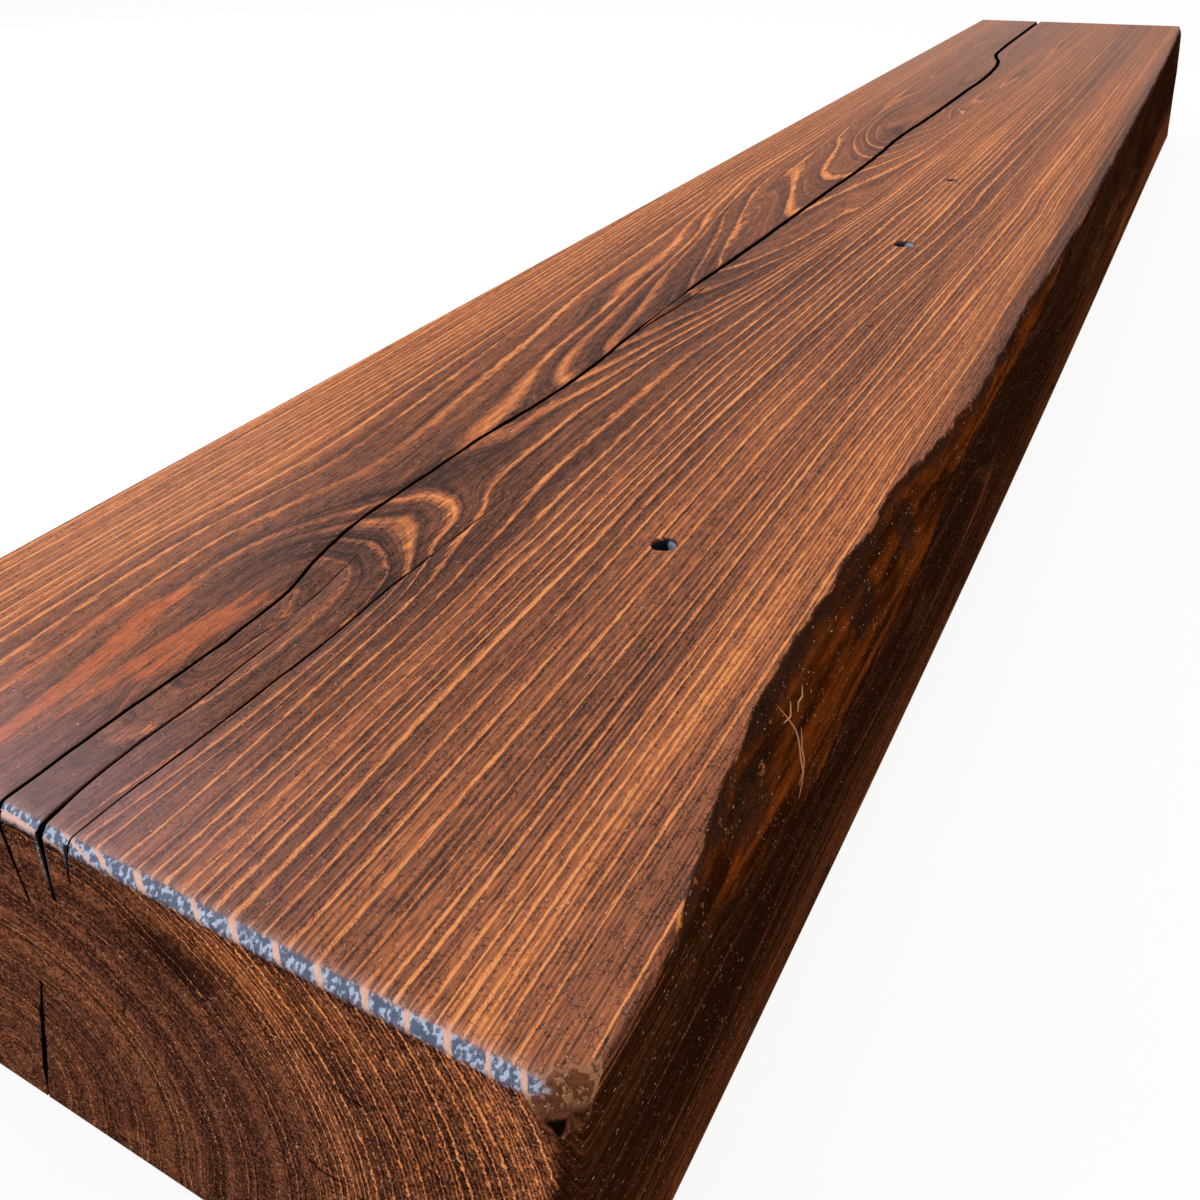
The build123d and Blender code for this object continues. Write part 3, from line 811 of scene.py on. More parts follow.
def build_beam(relief):
    """Points, faces and hollow mask of the whole beam, in millimetres.

    The skin is a grid of stations by section columns, closed round the section. The two
    end outlines are filled, and the nail holes replace blocks of cells in the top."""
    s = stations()
    y, z, hollow, top_y, first = section_grid(s, relief)
    grid = beam_points(s[:, None] + 0 * y, y, z)
    skin = Skin()
    index = skin.add(grid.reshape(-1, 3), hollow.ravel()).reshape(y.shape)
    around = np.roll(index, -1, 1)
    quads = np.stack([index[:-1], around[:-1], around[1:], index[1:]], -1)
    keep = np.ones(quads.shape[:2], bool)
    at = skewed(s, -50.0, HEIGHT)
    for number, hole in enumerate(NAIL_HOLES):
        i0, i1, j0, j1 = hole_block(at, top_y, *hole[:3])
        j0, j1 = j0 + first, j1 + first
        keep[i0:i1, j0:j1] = False
        sink_hole(skin, grid, index, (i0, i1, j0, j1), hole, number * 3.3)
    skin.faces = quads[keep].tolist() + skin.faces
    close_end(skin, s[0], y[0], z[0], index[0], NEAR_GRAIN, relief.end)
    close_end(skin, s[-1], y[-1], z[-1], index[-1], FAR_GRAIN, relief.end * 0.6)
    return np.concatenate(skin.points), skin.faces, np.concatenate(skin.hollow)


def evenly(line, spacing):
    """Points at even distances along a line of points."""
    run = np.concatenate([[0], np.cumsum(np.hypot(*np.diff(line, axis=0).T))])
    at = np.linspace(0, run[-1], int(run[-1] / spacing) + 2)
    return np.stack([np.interp(at, run, line[:, 0]), np.interp(at, run, line[:, 1])], 1)


def crest_and_swell(s, y):
    """Crest's y and the rings' swell: near the crest their own tables, on the flanks calmer
    ones, blended by a bell."""
    calm = table_at(FLANK_CREST, s)
    near = np.exp(-((y - calm) / FLANK_REACH) ** 2)
    flank = table_at(FLANK_SWELL, s)
    crest = calm + (smooth_at(CREST, s) - calm) * near
    return crest, flank + (smooth_at(SWELL, s) - flank) * near, near


def bells(a, b):
    """exp(-d^2 / 2) for each pair of points, d in reaches of a ring line's correction."""
    d = (a[:, None, :] - b[None, :, :]) / [LINE_REACH_ALONG, LINE_REACH_ACROSS]
    return np.exp(-0.5 * (d ** 2).sum(2))


def ring_number(points):
    """Growth ring number at each point: the distance from the heart, which leans towards
    the crest near the top, plus the swell, goes through the ring tables of its side, and a
    sum of bells corrects it on the top so that the measured lines keep their numbers."""
    s, y, z = placed(points)
    height = np.clip((z - PITH_Z) / CREST_HEIGHT, 0, 1)
    drift = PITH_DRIFT * np.sin(s / PITH_DRIFT_LENGTH) * step(0, 120, s)
    crest_on_top, swelling, near = crest_and_swell(s, y)
    crest = HEART_Y + (crest_on_top - HEART_Y) * height
    rise = z - PITH_Z - drift * (1 - height)
    waves = 1.5 * ripple(s / 190, y / 70, 61) + 0.5 * ripple(s / 60, z / 24, 62)
    top_level = np.hypot(y - crest, rise) - CREST_HEIGHT
    level = top_level + swelling * height ** 2 + SWELL_INSIDE * (1 - height ** 2)
    level = level + waves * (1 - height ** 3) * step(20, 160, s)
    number = np.where(
        y < crest, table_at(FRONT_RINGS, level), table_at(BACK_RINGS, level)
    )
    lines = [evenly(np.array(line, float), LINE_STEP) for _, line in RING_LINES]
    wanted = np.repeat([float(n) for n, _ in RING_LINES], [len(line) for line in lines])
    lines = np.concatenate(lines)
    line_crest, line_swell, _ = crest_and_swell(lines[:, 0], lines[:, 1])
    away = lines[:, 1] - line_crest
    level = np.hypot(away, CREST_HEIGHT) - CREST_HEIGHT + line_swell
    guess = np.where(away < 0, table_at(FRONT_RINGS, level), table_at(BACK_RINGS, level))
    left = np.linalg.solve(bells(lines, lines) + LINE_GIVE * np.eye(len(lines)), wanted - guess)
    held = np.where(s > LINES_END, LINES_END + (s - LINES_END) * step(0.1, 0.8, near), s)
    upper = np.flatnonzero((z > LINES_LOW) & (held < LINES_FAR))
    for part in np.array_split(upper, BATCHES):
        here = np.stack([held[part], y[part]], -1)
        number[part] += (bells(here, lines) @ left) * height[part] ** 3
    return number


def patches(along, across, table):
    """Sum of soft ellipses with slightly pointed ends."""
    total = np.zeros(len(along))
    for place, middle, long_, wide, strength in table:
        reach = np.abs(along - place) / long_
        narrow = wide * np.clip(1.15 - 0.45 * reach, 0.3, 1.0)
        total += strength * np.exp(-(reach ** 2 + ((across - middle) / narrow) ** 2) ** 1.3)
    return total


def tone(points):
    """Lightness of the stain, 0 dark to 1 light, of the top, the front, the ends and the
    rest, blended by height and by distance from the ends. The front's low lightness is partly
    painted shade, and the end's darker band under its top arris is painted shade."""
    s, y, z = placed(points)
    near, far = table_at(TONE_ACROSS, y, 1), table_at(TONE_ACROSS, y, 2)
    top = near + (far - near) * step(350, 800, s) + patches(s, y, TONE_PATCHES)
    # The front is kept dark, partly as painted shade, and lighter towards the bottom.
    front = 0.08 + 0.2 * step(70, 0, z) + 0.1 * ripple(s / 120, z / 22, 81) * step(110, 60, z)
    front = front + 0.1 * step(700, 1500, s) * step(100, 20, z)
    other = 0.42 + 0.08 * ripple(s / 150, z / 40, 82)
    side = np.where(y < 0, front, other)
    low = 0.4 + 0.06 * ripple(s / 130, y / 50, 83)
    side = side + (low - side) * step(3, 0, z)
    arris_low, arris_high = np.where(y < 0, 121, 125.4), np.where(y < 0, 126, 126.9)
    result = side + (top - side) * step(arris_low, arris_high, z)
    # Painted shade: the end is darker just under its eased top arris.
    end = 0.36 + patches(y, z, END_PATCHES) - 0.14 * step(119, 124.5, z)
    ends = np.maximum(step(1.2, 0.2, s - end_offset(y, z)), step(LENGTH - 1.2, LENGTH - 0.2, s))
    return result + (end - result) * ends, ends


def faintness(points):
    """How far the ring lines fade out, on the top only."""
    s, y, z = placed(points)
    return np.clip(patches(s, y, FAINT_PATCHES), 0, 1) * step(90, 124, z)


def redness(points):
    """How much redder the stain is, on the top only: soft patches, and wedges whose edge is
    at a half."""
    s, y, z = placed(points)
    red = np.clip(patches(s, y, RED_PATCHES), 0, 0.4)
    for wedge in RED_WEDGES:
        line = np.array(wedge)
        half = table_at(line, s, 2)
        on = 0.5 + (half - np.abs(y - table_at(line, s))) / 5
        red = np.maximum(red, np.where(half > 0, np.clip(on, 0, 1), 0))
    return red * step(90, 124, z)


def cracks(y, z, ends):
    """1 along the near end's short cracks, which are darkened as painted shade."""
    here = np.stack([y, z], -1)
    total = np.zeros(len(y))
    for line, half in END_CRACKS:
        line = np.array(line, float)
        start, along = line[:-1], np.diff(line, axis=0)
        t = ((here[:, None] - start) * along).sum(2) / (along ** 2).sum(1)
        foot = start + along * np.clip(t, 0, 1)[..., None]
        gap = np.hypot(*np.moveaxis(here[:, None] - foot, -1, 0)).min(1)
        total = np.maximum(total, 0.75 * step(half + 1.2, half, gap))
    return total * ends


def wane_mask(points):
    """1 on the wane and up to 2 on its knots, 0 on the sawn faces and a half at its edge on
    the top."""
    s, y, z = placed(points)
    inset, drop = smooth_at(WANE, s, 1), smooth_at(WANE, s, 2)
    edge = front_head(s / LENGTH) + inset
    over = 1.0 * ripple(s / 14, 0.3, 71)
    on = step(3.0, -3.0, y - edge + over) * step(HEIGHT - drop * 2.1 - 2, HEIGHT - drop * 0.9, z)
    knots = np.zeros(len(s))
    for place, reach, _ in KNOTS:
        knots += np.exp(-((s - place) / reach) ** 2 * 1.6 - ((z - 0.91 * HEIGHT) / 9) ** 2)
    return on * step(2, 9, drop) * (1 + knots) * (1 - 0.7 * step(1360, 1500, s))


# Among these, the band beside the near arris carries painted sheen, hollow painted shade in the
# checks, cracks and chip, front the front's partly painted shade, and nail the painted highlight on
# the holes' walls.
ATTRIBUTES = ("ring", "tone", "red", "wane", "hollow", "arris", "halo", "ends", "fresh", "nail",
              "front", "faint")

# Shader maths


class Val:
    """A number from a node's socket that builds Math nodes when used in an expression."""

    def __init__(self, maker, socket):
        self.maker = maker
        self.socket = socket

    def _math(self, operation, *values):
        return self.maker.math(operation, *values)

    def __add__(self, other):
        return self._math("ADD", self, other)

    def __radd__(self, other):
        return self._math("ADD", other, self)

    def __sub__(self, other):
        return self._math("SUBTRACT", self, other)

    def __rsub__(self, other):
        return self._math("SUBTRACT", other, self)

    def __mul__(self, other):
        return self._math("MULTIPLY", self, other)

    def __rmul__(self, other):
        return self._math("MULTIPLY", other, self)

    def __truediv__(self, other):
        return self._math("DIVIDE", self, other)


class Maker:
    """Adds nodes to one material."""

    def __init__(self, material):
        material.use_nodes = True
        self.tree = material.node_tree
        self.tree.nodes.clear()

    def node(self, kind, settings=None, values=None, out=0):
        """Adds a node, sets its settings first, then its sockets' values or links."""
        made = self.tree.nodes.new(kind)
        for key, value in (settings or {}).items():
            if key == "stops":
                self.set_stops(made.color_ramp, *value)
            else:
                setattr(made, key, value)
        for key, value in (values or {}).items():
            self.feed(made.inputs[key], value)
        return Val(self, made.outputs[out]) if made.outputs else made

    def feed(self, socket, value):
        if isinstance(value, Val):
            self.tree.links.new(value.socket, socket)
        elif socket.type == "RGBA":
            socket.default_value = (*value[:3], 1.0)
        else:
            socket.default_value = value

    def set_stops(self, colours, interpolation, stops):
        colours.interpolation = interpolation
        while len(colours.elements) < len(stops):
            colours.elements.new(1.0)
        for element, (position, colour) in zip(colours.elements, stops):
            element.position = position
            element.color = (*colour, 1.0)

    def outputs(self, value, names):
        """The named outputs of the node that a value comes from."""
        return [Val(self, value.socket.node.outputs[name]) for name in names]

    def math(self, operation, *values):
        return self.node("ShaderNodeMath", {"operation": operation}, dict(enumerate(values)))

    def attribute(self, name):
        return self.node("ShaderNodeAttribute", {"attribute_name": name}, out="Fac")

    def vector(self, x, y, z):
        return self.node("ShaderNodeCombineXYZ", None, {0: x, 1: y, 2: z})

    def noise(self, vector, detail=2.0, rough=0.5, scale=1.0):
        return self.node(
            "ShaderNodeTexNoise", {"noise_dimensions": "3D"},
            {"Vector": vector, "Scale": scale, "Detail": detail, "Roughness": rough},
        )

    def step(self, low, high, value):
        """Smooth step from 0 at low to 1 at high."""
        return self.node(
            "ShaderNodeMapRange", {"interpolation_type": "SMOOTHSTEP"},
            {"Value": value, "From Min": low, "From Max": high, "To Min": 0.0, "To Max": 1.0},
        )

    def mix(self, factor, a, b, blend="MIX"):
        return self.node(
            "ShaderNodeMix", {"data_type": "RGBA", "blend_type": blend}, {0: factor, 6: a, 7: b}, 2
        )

    def seen(self):
        """1 for rays that show the background: camera, glossy and transmission ones."""
        camera, glossy, through = self.outputs(
            self.node("ShaderNodeLightPath"),
            ("Is Camera Ray", "Is Glossy Ray", "Is Transmission Ray"),
        )
        return self.math("MAXIMUM", self.math("MAXIMUM", camera, glossy), through)

    def random(self, value):
        return self.node("ShaderNodeTexWhiteNoise", {"noise_dimensions": "1D"}, {"W": value})

    def colour_ramp(self, value, stops, interpolation="LINEAR"):
        return self.node("ShaderNodeValToRGB", {"stops": (interpolation, stops)}, {0: value})

    def ramp(self, value, stops):
        """Steps of plain levels."""
        return self.colour_ramp(value, [(at, (v, v, v)) for at, v in stops], "CONSTANT")


def wood_marks(m):
    """What every part of the finish reads: the place on the beam, the beam's attributes, and
    noises stretched along the beam or along its rings."""
    place = m.node("ShaderNodeTexCoord", out="Object")
    x, y, z = m.outputs(m.node("ShaderNodeSeparateXYZ", None, {0: place}), range(3))
    w = SimpleNamespace(x=x, y=y, z=z, **{name: m.attribute(name) for name in ATTRIBUTES})
    w.fibre = m.noise(m.vector(x * 120, y * 1000, z * 1000), 2.0, 0.65)
    w.strand = m.noise(m.vector(x * 11, y * 330, z * 330), 2.0, 0.55)
    w.figure = m.noise(m.vector(x * 9, w.ring * 0.9, z * 2), 2.0)
    w.streak = m.noise(m.vector(x * 8, w.ring * 5.0, 3.0), 2.0, 0.6)
    w.thread = m.noise(m.vector(x * 14, w.ring * 15.0, 5.0), 1.0)
    w.band = m.noise(m.vector(x * 1.8, w.ring * 0.42, 7.0), 2.0)
    w.wrinkle = m.noise(m.vector(x * 620, y * 800, z * 800), 1.0)
    w.patch = m.noise(m.vector(x * 170, y * 330, z * 330), 1.0)
    w.lump = m.noise(m.vector(x * 90, y * 180, z * 140), 3.0, 0.65)
    w.ember = m.step(0.36, 0.62, m.noise(m.vector(x * 15, y * 130, z * 100), 4.0, 0.65))
    w.far = m.step(-0.2, 0.5, x)
    w.pores = m.step(0.6, 0.72, m.noise(m.vector(x * 150, y * 1500, z * 1500), 1.0))
    lines = 1.0 - m.step(0.0, 0.045, m.math("ABSOLUTE", w.wrinkle - 0.5))
    w.lines = lines * m.step(0.36, 0.52, w.patch) * (1.0 - w.far * 0.5)
    return w


def late_wood(m, w):
    """Adds the late wood, 0 to 1, and the dark wood behind it. Each ring number has a line
    that rises on its heart side and falls off sharply, with its own width and strength, and
    in the outer rings a finer line stands between each two."""
    n = w.ring + (w.figure - 0.5) * 0.3 + (w.fibre - 0.5) * (0.34 + w.ends * 0.5)
    n = n + (w.strand - 0.5) * 0.12
    w.number = m.math("FLOOR", n + 0.5)
    w.off = n - w.number
    chance, other = m.random(w.number + 0.37), m.random(w.number + 13.91)
    share = (w.number - (FIRST_RING - 0.5)) / float(RING_SPAN)
    inner_rings = 1.0 - m.step(60.0, 62.0, w.number)
    thin = 1.0 - (1.0 - m.step(-0.685, -0.655, w.x)) * inner_rings * 0.6
    width = m.ramp(share, [(i / RING_SPAN, wide / WIDEST) for i, wide in enumerate(RING_WIDTH)])
    width = width * WIDEST * thin * (1.0 - w.ends * 0.25)
    rising = m.step(width * (chance * -0.16 - 0.1), width * -0.02, w.off)
    falling = 1.0 - m.step(width * 0.02, width * (other * 0.07 + 0.07), w.off)
    strengths = [((i + 1) / RING_SPAN, level) for i, level in enumerate(RING_STRENGTH)]
    past = (len(RING_STRENGTH) + 1.5) / RING_SPAN
    known = m.ramp(share, [(0.0, 0.0), *strengths, (past, 0.0)])
    strength = m.math("MAXIMUM", known, m.step(0.45, 0.85, other) * 0.75 + 0.2)
    late = rising * falling * strength * (w.strand * 1.3 + 0.35)
    half = m.math("FLOOR", n) + 0.5
    beside = m.random(half + 4.73)
    inner = m.step(beside * -0.1 - 0.16, -0.02, n - half)
    outer = 1.0 - m.step(0.02, beside * 0.1 + 0.1, n - half)
    finer = inner * outer * (beside * 0.6 + 0.15) * (w.strand + 0.4) * m.step(69.0, 75.0, half)
    late = m.math("MAXIMUM", late, finer) * (1.0 - w.faint)
    w.late = late * (1.0 - w.front * (1.0 - w.ends) * 0.75) * (1.0 - w.far * 0.5)
    w.behind = m.step(0.06, 0.12, w.off) * (1.0 - m.step(0.16, 0.45, w.off))


def stained_wood(m, w, finish):
    """Colour of the sawn faces. One lightness is summed from the stain's tone, the bands,
    streaks and fibres, the late wood, wrinkles and pores, and coloured by a ramp. The red
    wedges, the warm tint of the front, which is partly painted shade, and painted sheen,
    greyer towards the far end and pinkish by the near end, are laid over it."""
    marks = (
        (w.streak - 0.5) * 0.42 + (w.strand - 0.5) * 0.36
        + (w.fibre - 0.5) * (0.56 + w.ends * 0.5) + (w.thread - 0.5) * 0.46
    )
    light = (
        w.tone + (w.band - 0.5) * (0.44 + w.ends * 0.2)
        + (1.0 - w.far * 0.55) * (1.0 - w.front * 0.3) * marks
        + w.late * (0.59 + w.ends * 0.27) - w.behind * 0.1 - 0.065
        - w.lines * (0.32 + w.ends * 0.1) - w.pores * 0.12
    )
    wedge = m.step(0.44, 0.6, w.red + (w.strand - 0.5) * 0.3 + (w.fibre - 0.5) * 0.25)
    colour = m.colour_ramp(light + wedge * 0.12, [
        (0.0, finish.darkest), (0.2, finish.dark_wood), (0.4, finish.early_wood),
        (0.6, finish.mid_wood), (0.8, finish.late_wood), (1.0, finish.bright_wood),
    ])
    grit = m.step(0.32, 0.52, w.fibre * 0.6 + w.strand * 0.4)
    stained = m.mix(w.fibre * 1.6 - 0.65, finish.red_wood, finish.late_wood)
    stained = m.mix(grit, finish.early_wood, stained)
    colour = m.mix(wedge * (w.streak * 0.5 + 0.3) + w.red * 0.3, colour, stained)
    colour = m.mix(w.lines * wedge * 0.5, colour, finish.dark_wood)
    colour = m.mix(w.front, colour, m.mix(1.0, colour, finish.shade_tint, "MULTIPLY"))
    # Painted sheen: greyer towards the far end, and more so towards the back, standing in for the
    # varnish's reflection at a grazing view.
    far_sheen_share = m.step(-0.15, 0.7, w.x) * (m.step(-0.05, 0.12, w.y) * 0.14 + 0.26)
    colour = m.mix(far_sheen_share * (1.0 - w.front), colour, finish.far_sheen_colour)
    # Painted sheen: a pinkish reflection mixed into the top's colour by the near end.
    near_sheen = 1.0 - m.step(-0.812, -0.735, w.x)
    near_sheen = near_sheen * m.step(-0.08, 0.03, w.y) * m.step(0.1255, 0.1268, w.z)
    return m.mix(near_sheen * 0.26, colour, finish.near_sheen)


def wane_over(m, w, finish, colour):
    """Lays the wane over a colour: dark bark brown with orange embers, black at its rim and
    on its knots, wrinkled and flecked."""
    bark = m.mix(w.ember * (w.strand * 2.1 - 0.35) * 0.85, finish.wane_dark, finish.wane_ember)
    knot = m.step(1.15, 1.5, w.wane + (w.lump - 0.5) * 0.7)
    rim = m.step(0.1195, 0.1245, w.z + (w.lump - 0.5) * 0.012)
    bark = m.mix(m.math("MAXIMUM", knot * 0.65, rim * 0.8), bark, finish.wane_rim)
    bark = m.mix(w.lines * (0.5 + knot * 0.4), bark, finish.hollow)
    fleck = m.step(0.62, 0.7, w.lump) * m.step(0.5, 0.6, w.wrinkle)
    bark = m.mix(fleck * 0.4, bark, finish.late_wood)
    edge = w.wane + (w.lump - 0.5) * 0.8 + (w.strand - 0.5) * 0.3
    return m.mix(m.step(0.42, 0.58, edge) * 0.97, colour, bark)


def chip_over(m, w, finish, colour):
    """Lays the broken wood of the chipped corner over a colour, pale at its upper lip, where the fresh
    wood's colour is partly a painted highlight.
    """
    x, y, z = w.x, w.y, w.z
    raw = m.step(0.35, 0.6, m.noise(m.vector(x * 500, y * 330, z * 260), 3.0, 0.7))
    broken = m.step(0.15, 0.45, w.fresh * (w.fibre * 1.4 + 0.3))
    lip = broken * (1.0 - m.step(0.55, 0.95, w.fresh * (raw + 0.4)))
    chip = m.mix(raw * 0.8, finish.wane_dark, finish.early_wood)
    colour = m.mix(broken * 0.9, colour, chip)
    # The pale upper lip: fresh wood, partly a painted highlight.
    lip = lip * (w.fibre * 1.1 + 0.1) * m.step(0.118, 0.124, z)
    return m.mix(lip, colour, finish.fresh_wood)


def glints_over(m, w, finish, colour):
    """Lays painted glints, small pale specks of painted highlight, over a colour, fewer towards the
    far end.
    """
    speck = m.step(0.7, 0.78, m.noise(m.vector(w.x * 760 + 9.0, w.y * 1300, w.z * 1300), 1.0))
    speck = speck * (0.45 - w.far * 0.3 + w.ends * 0.2) * (1.0 - w.hollow)
    return m.mix(speck, colour, finish.glint)


def arris_sheen_over(m, w, finish, colour):
    """Lays the near end's worn arris over a colour: a painted sheen of reflected sky,
    leathery blue-grey, crossed by a pale tick of late wood at every second or third ring, and
    painted pale sheen in streaks on the top beside it."""
    # Painted sheen: pale streaks on the top beside the eased arris.
    colour = m.mix(w.halo * (w.fibre + w.late) * w.streak * 0.8, colour, finish.tick_and_sheen)
    grey = m.step(0.42, 0.6, w.wrinkle * 0.75 + w.patch * 0.25)
    sky_sheen = m.mix(grey, finish.sheen_dark, finish.sheen_light)
    sky_sheen = m.mix(w.lines * 0.8, sky_sheen, finish.nail_hole)
    every = m.step(63.0, 64.0, w.number) + 2.0
    tick = m.math("LESS_THAN", m.math("MODULO", w.number + 0.5, every), 1.0)
    tick = tick * m.step(-0.42, -0.22, w.off + (w.lump - 0.5) * 0.5)
    tick = tick * (1.0 - m.step(0.12, 0.3, w.off))
    return m.mix(w.arris, colour, m.mix(tick, sky_sheen, finish.tick_and_sheen))


def hollows_over(m, w, finish, colour):
    """Darkens the checks and cracks as painted shade, and the nail holes, with a painted highlight on
    their lit walls.
    """
    deep = m.step(0.3, 0.6, w.hollow - w.ends * 0.1 + (w.fibre - 0.5) * w.ends * 0.9)
    colour = m.mix(deep, colour, finish.hollow)
    colour = m.mix(m.step(0.2, 0.6, w.nail), colour, finish.nail_hole)
    # Painted highlight: the lit part of each nail hole's wall in the sheen's light blue-grey.
    shine = m.step(1.25, 1.7, w.nail + (w.lump - 0.5) * 0.6)
    return m.mix(shine, colour, finish.sheen_light)


def cypress_material(finish, raised):
    """Stained cypress: its colour, its raised grain as a bump, and varnish on the top, on
    the worn arris and in the nail holes."""
    material = bpy.data.materials.new("stained_cypress")
    m = Maker(material)
    w = wood_marks(m)
    late_wood(m, w)
    colour = stained_wood(m, w, finish)
    for over in (wane_over, chip_over, glints_over, arris_sheen_over, hollows_over):
        colour = over(m, w, finish, colour)
    relief = w.late * 0.4 - w.pores * 0.6 - w.lines * 0.5 + w.fibre * 0.7 + w.wane * w.ember
    bump = m.node("ShaderNodeBump", None, {"Strength": 0.6, "Distance": raised, "Height": relief})
    roughness = 0.5 + (w.fibre - 0.5) * 0.3 - w.arris * 0.15 - w.wane * 0.1
    varnish = finish.gloss * m.step(0.1258, 0.1268, w.z) * (1.0 - w.hollow)
    varnish = varnish * (1.0 - m.step(0.3, 0.7, w.wane))
    varnish = varnish + m.step(0.2, 0.6, w.nail) * 0.6 + w.arris * 0.3
    surface = m.node(
        "ShaderNodeBsdfPrincipled", None,
        {"Base Color": colour, "Roughness": roughness, "Normal": bump,
         "Specular IOR Level": 0.0, "Coat Weight": varnish, "Coat Roughness": 0.35},
    )
    m.node("ShaderNodeOutputMaterial", None, {"Surface": surface})
    return material


def stain(name, description, *default):
    """Colour setting whose default is given as sRGB of 0 to 255."""
    return FloatVectorProperty(
        name=name, description=description, subtype="COLOR", size=3, min=0, max=1,
        default=srgb(*default),
    )


def relief_depth(name, description, default, deepest):
    """Setting for a depth of relief, in metres."""
    return FloatProperty(
        name=name, description=description, default=default, min=0, max=deepest, unit="LENGTH",
    )


class BeamFinish(PropertyGroup):
    darkest: stain("Darkest wood", "Deepest tone of the stain", 38, 20, 14)
    dark_wood: stain("Dark wood", "Dark tone of the stain", 78, 44, 32)
    early_wood: stain("Early wood", "Tone of the wood between the ring lines", 122, 72, 50)
    mid_wood: stain("Middle wood", "Lighter bands and streaks", 164, 96, 60)
    late_wood: stain("Late wood", "Orange lines of late wood", 206, 120, 66)
    bright_wood: stain("Bright wood", "Brightest late wood", 232, 150, 88)
    red_wood: stain("Red wood", "Redder patches in the stain", 186, 88, 44)
    # Colour of the painted sheen that greys the top towards the far end.
    far_sheen_colour: stain("Dull wood", "Greyer stain towards the far end", 156, 126, 114)
    # Colour of the painted sheen on the top by the near end.
    near_sheen: stain("Milky varnish", "Milky varnish by the near end", 206, 166, 172)
    wane_dark: stain("Wane, dark", "Dark of the waney edge", 44, 19, 4)
    wane_ember: stain("Wane, light", "Orange brown of the waney edge", 132, 60, 16)
    wane_rim: stain("Wane, rim and knots", "Blackened rim and knots of the waney edge", 42, 26, 20)
    shade_tint: FloatVectorProperty(
        name="Shaded face", description="Warms the stain on the shaded front",
        subtype="COLOR", size=3, min=0, max=1, default=(1.0, 0.84, 0.5),
    )
    # Also paints the chip's upper lip, partly as a painted highlight.
    fresh_wood: stain("Broken wood", "Pale wood of the chipped corner", 190, 132, 96)
    # Painted sheen: the eased end arris's blue-grey stands in for reflected sky; the light one also
    # paints the highlight in the nail holes.
    sheen_light: stain("Worn arris, light", "Light blue-grey of the eased end arris", 176, 186, 208)
    sheen_dark: stain("Worn arris, dark", "Dark blue-grey of the eased end arris", 84, 92, 116)
    # Pale late wood across the eased end arris; also the colour of the painted sheen on the top beside
    # it.
    tick_and_sheen: stain("Worn ticks", "Pale late wood across the eased end arris", 224, 178, 160)
    # Painted shade: near black inside the checks, the end's cracks and the chip's cavity.
    hollow: stain("Hollows", "Inside the drying checks", 14, 8, 6)
    nail_hole: stain("Nail holes", "Blue-black inside the old nail holes", 30, 34, 48)
    # Painted glints: varnish highlights painted as pale specks.
    glint: stain("Glints", "Pale specks on the varnish", 232, 200, 176)
    gloss: FloatProperty(
        name="Gloss", description="Weight of the varnish on the top", default=0.2, min=0, max=1,
    )


class BeamRelief(PropertyGroup):
    wane: relief_depth("Wane relief", "How far the waney edge is pushed in by its lumps", 0.001, 0.003)
    end: relief_depth("End relief", "How rough the near end is", 0.00016, 0.0005)
    lips: relief_depth("Ragged lips", "How far the lips of the checks wander", 0.00025, 0.0006)
    grain: relief_depth("Grain relief", "Height of the raised grain in the shading", 0.0004, 0.002)


class StageLook(PropertyGroup):
    backdrop: FloatVectorProperty(
        name="Backdrop", description="Colour behind the beam and of the floor",
        subtype="COLOR", size=3, min=0, max=1, default=(1.0, 1.0, 1.0),
    )
    daylight: FloatProperty(
        name="Daylight", description="Strength of the even light", default=0.7, min=0, max=3,
    )


def add_object(name, data):
    thing = bpy.data.objects.new(name, data)
    bpy.context.scene.collection.objects.link(thing)
    return thing


def add_piece(name, points, faces, material):
    """Mesh object at the origin from points in millimetres, kept just inside the CAD box."""
    low = np.array(BEAM_LOW) * 1000 + INSIDE_BOX
    high = np.array(BEAM_HIGH) * 1000 - INSIDE_BOX
    mesh = bpy.data.meshes.new(name)
    mesh.from_pydata((np.clip(points, low, high) / 1000).tolist(), [], faces)
    mesh.materials.append(material)
    whole = bmesh.new()
    whole.from_mesh(mesh)
    bmesh.ops.recalc_face_normals(whole, faces=whole.faces)
    whole.to_mesh(mesh)
    whole.free()
    return add_object(name, mesh)


def nail_mask(points, z):
    """1 inside the old nail holes and up to 2 on their lit walls; not in the tiny last one."""
    s, y, _ = placed(points)
    nail = np.zeros(len(points))
    for place, across, diameter, _ in NAIL_HOLES[:3]:
        within = np.hypot(s - place, y - across) < diameter * 0.62
        nail = np.maximum(nail, within * step(0.4, 1.2, HEIGHT - z))
        turn = np.arctan2(y - across, s - place)
        lit = step(0.7, 0.95, np.cos(turn - SHINE_TURN)) * step(0.2, 0.6, HEIGHT - z)
        nail += within * lit * step(9.0, 3.0, HEIGHT - z)
    return nail


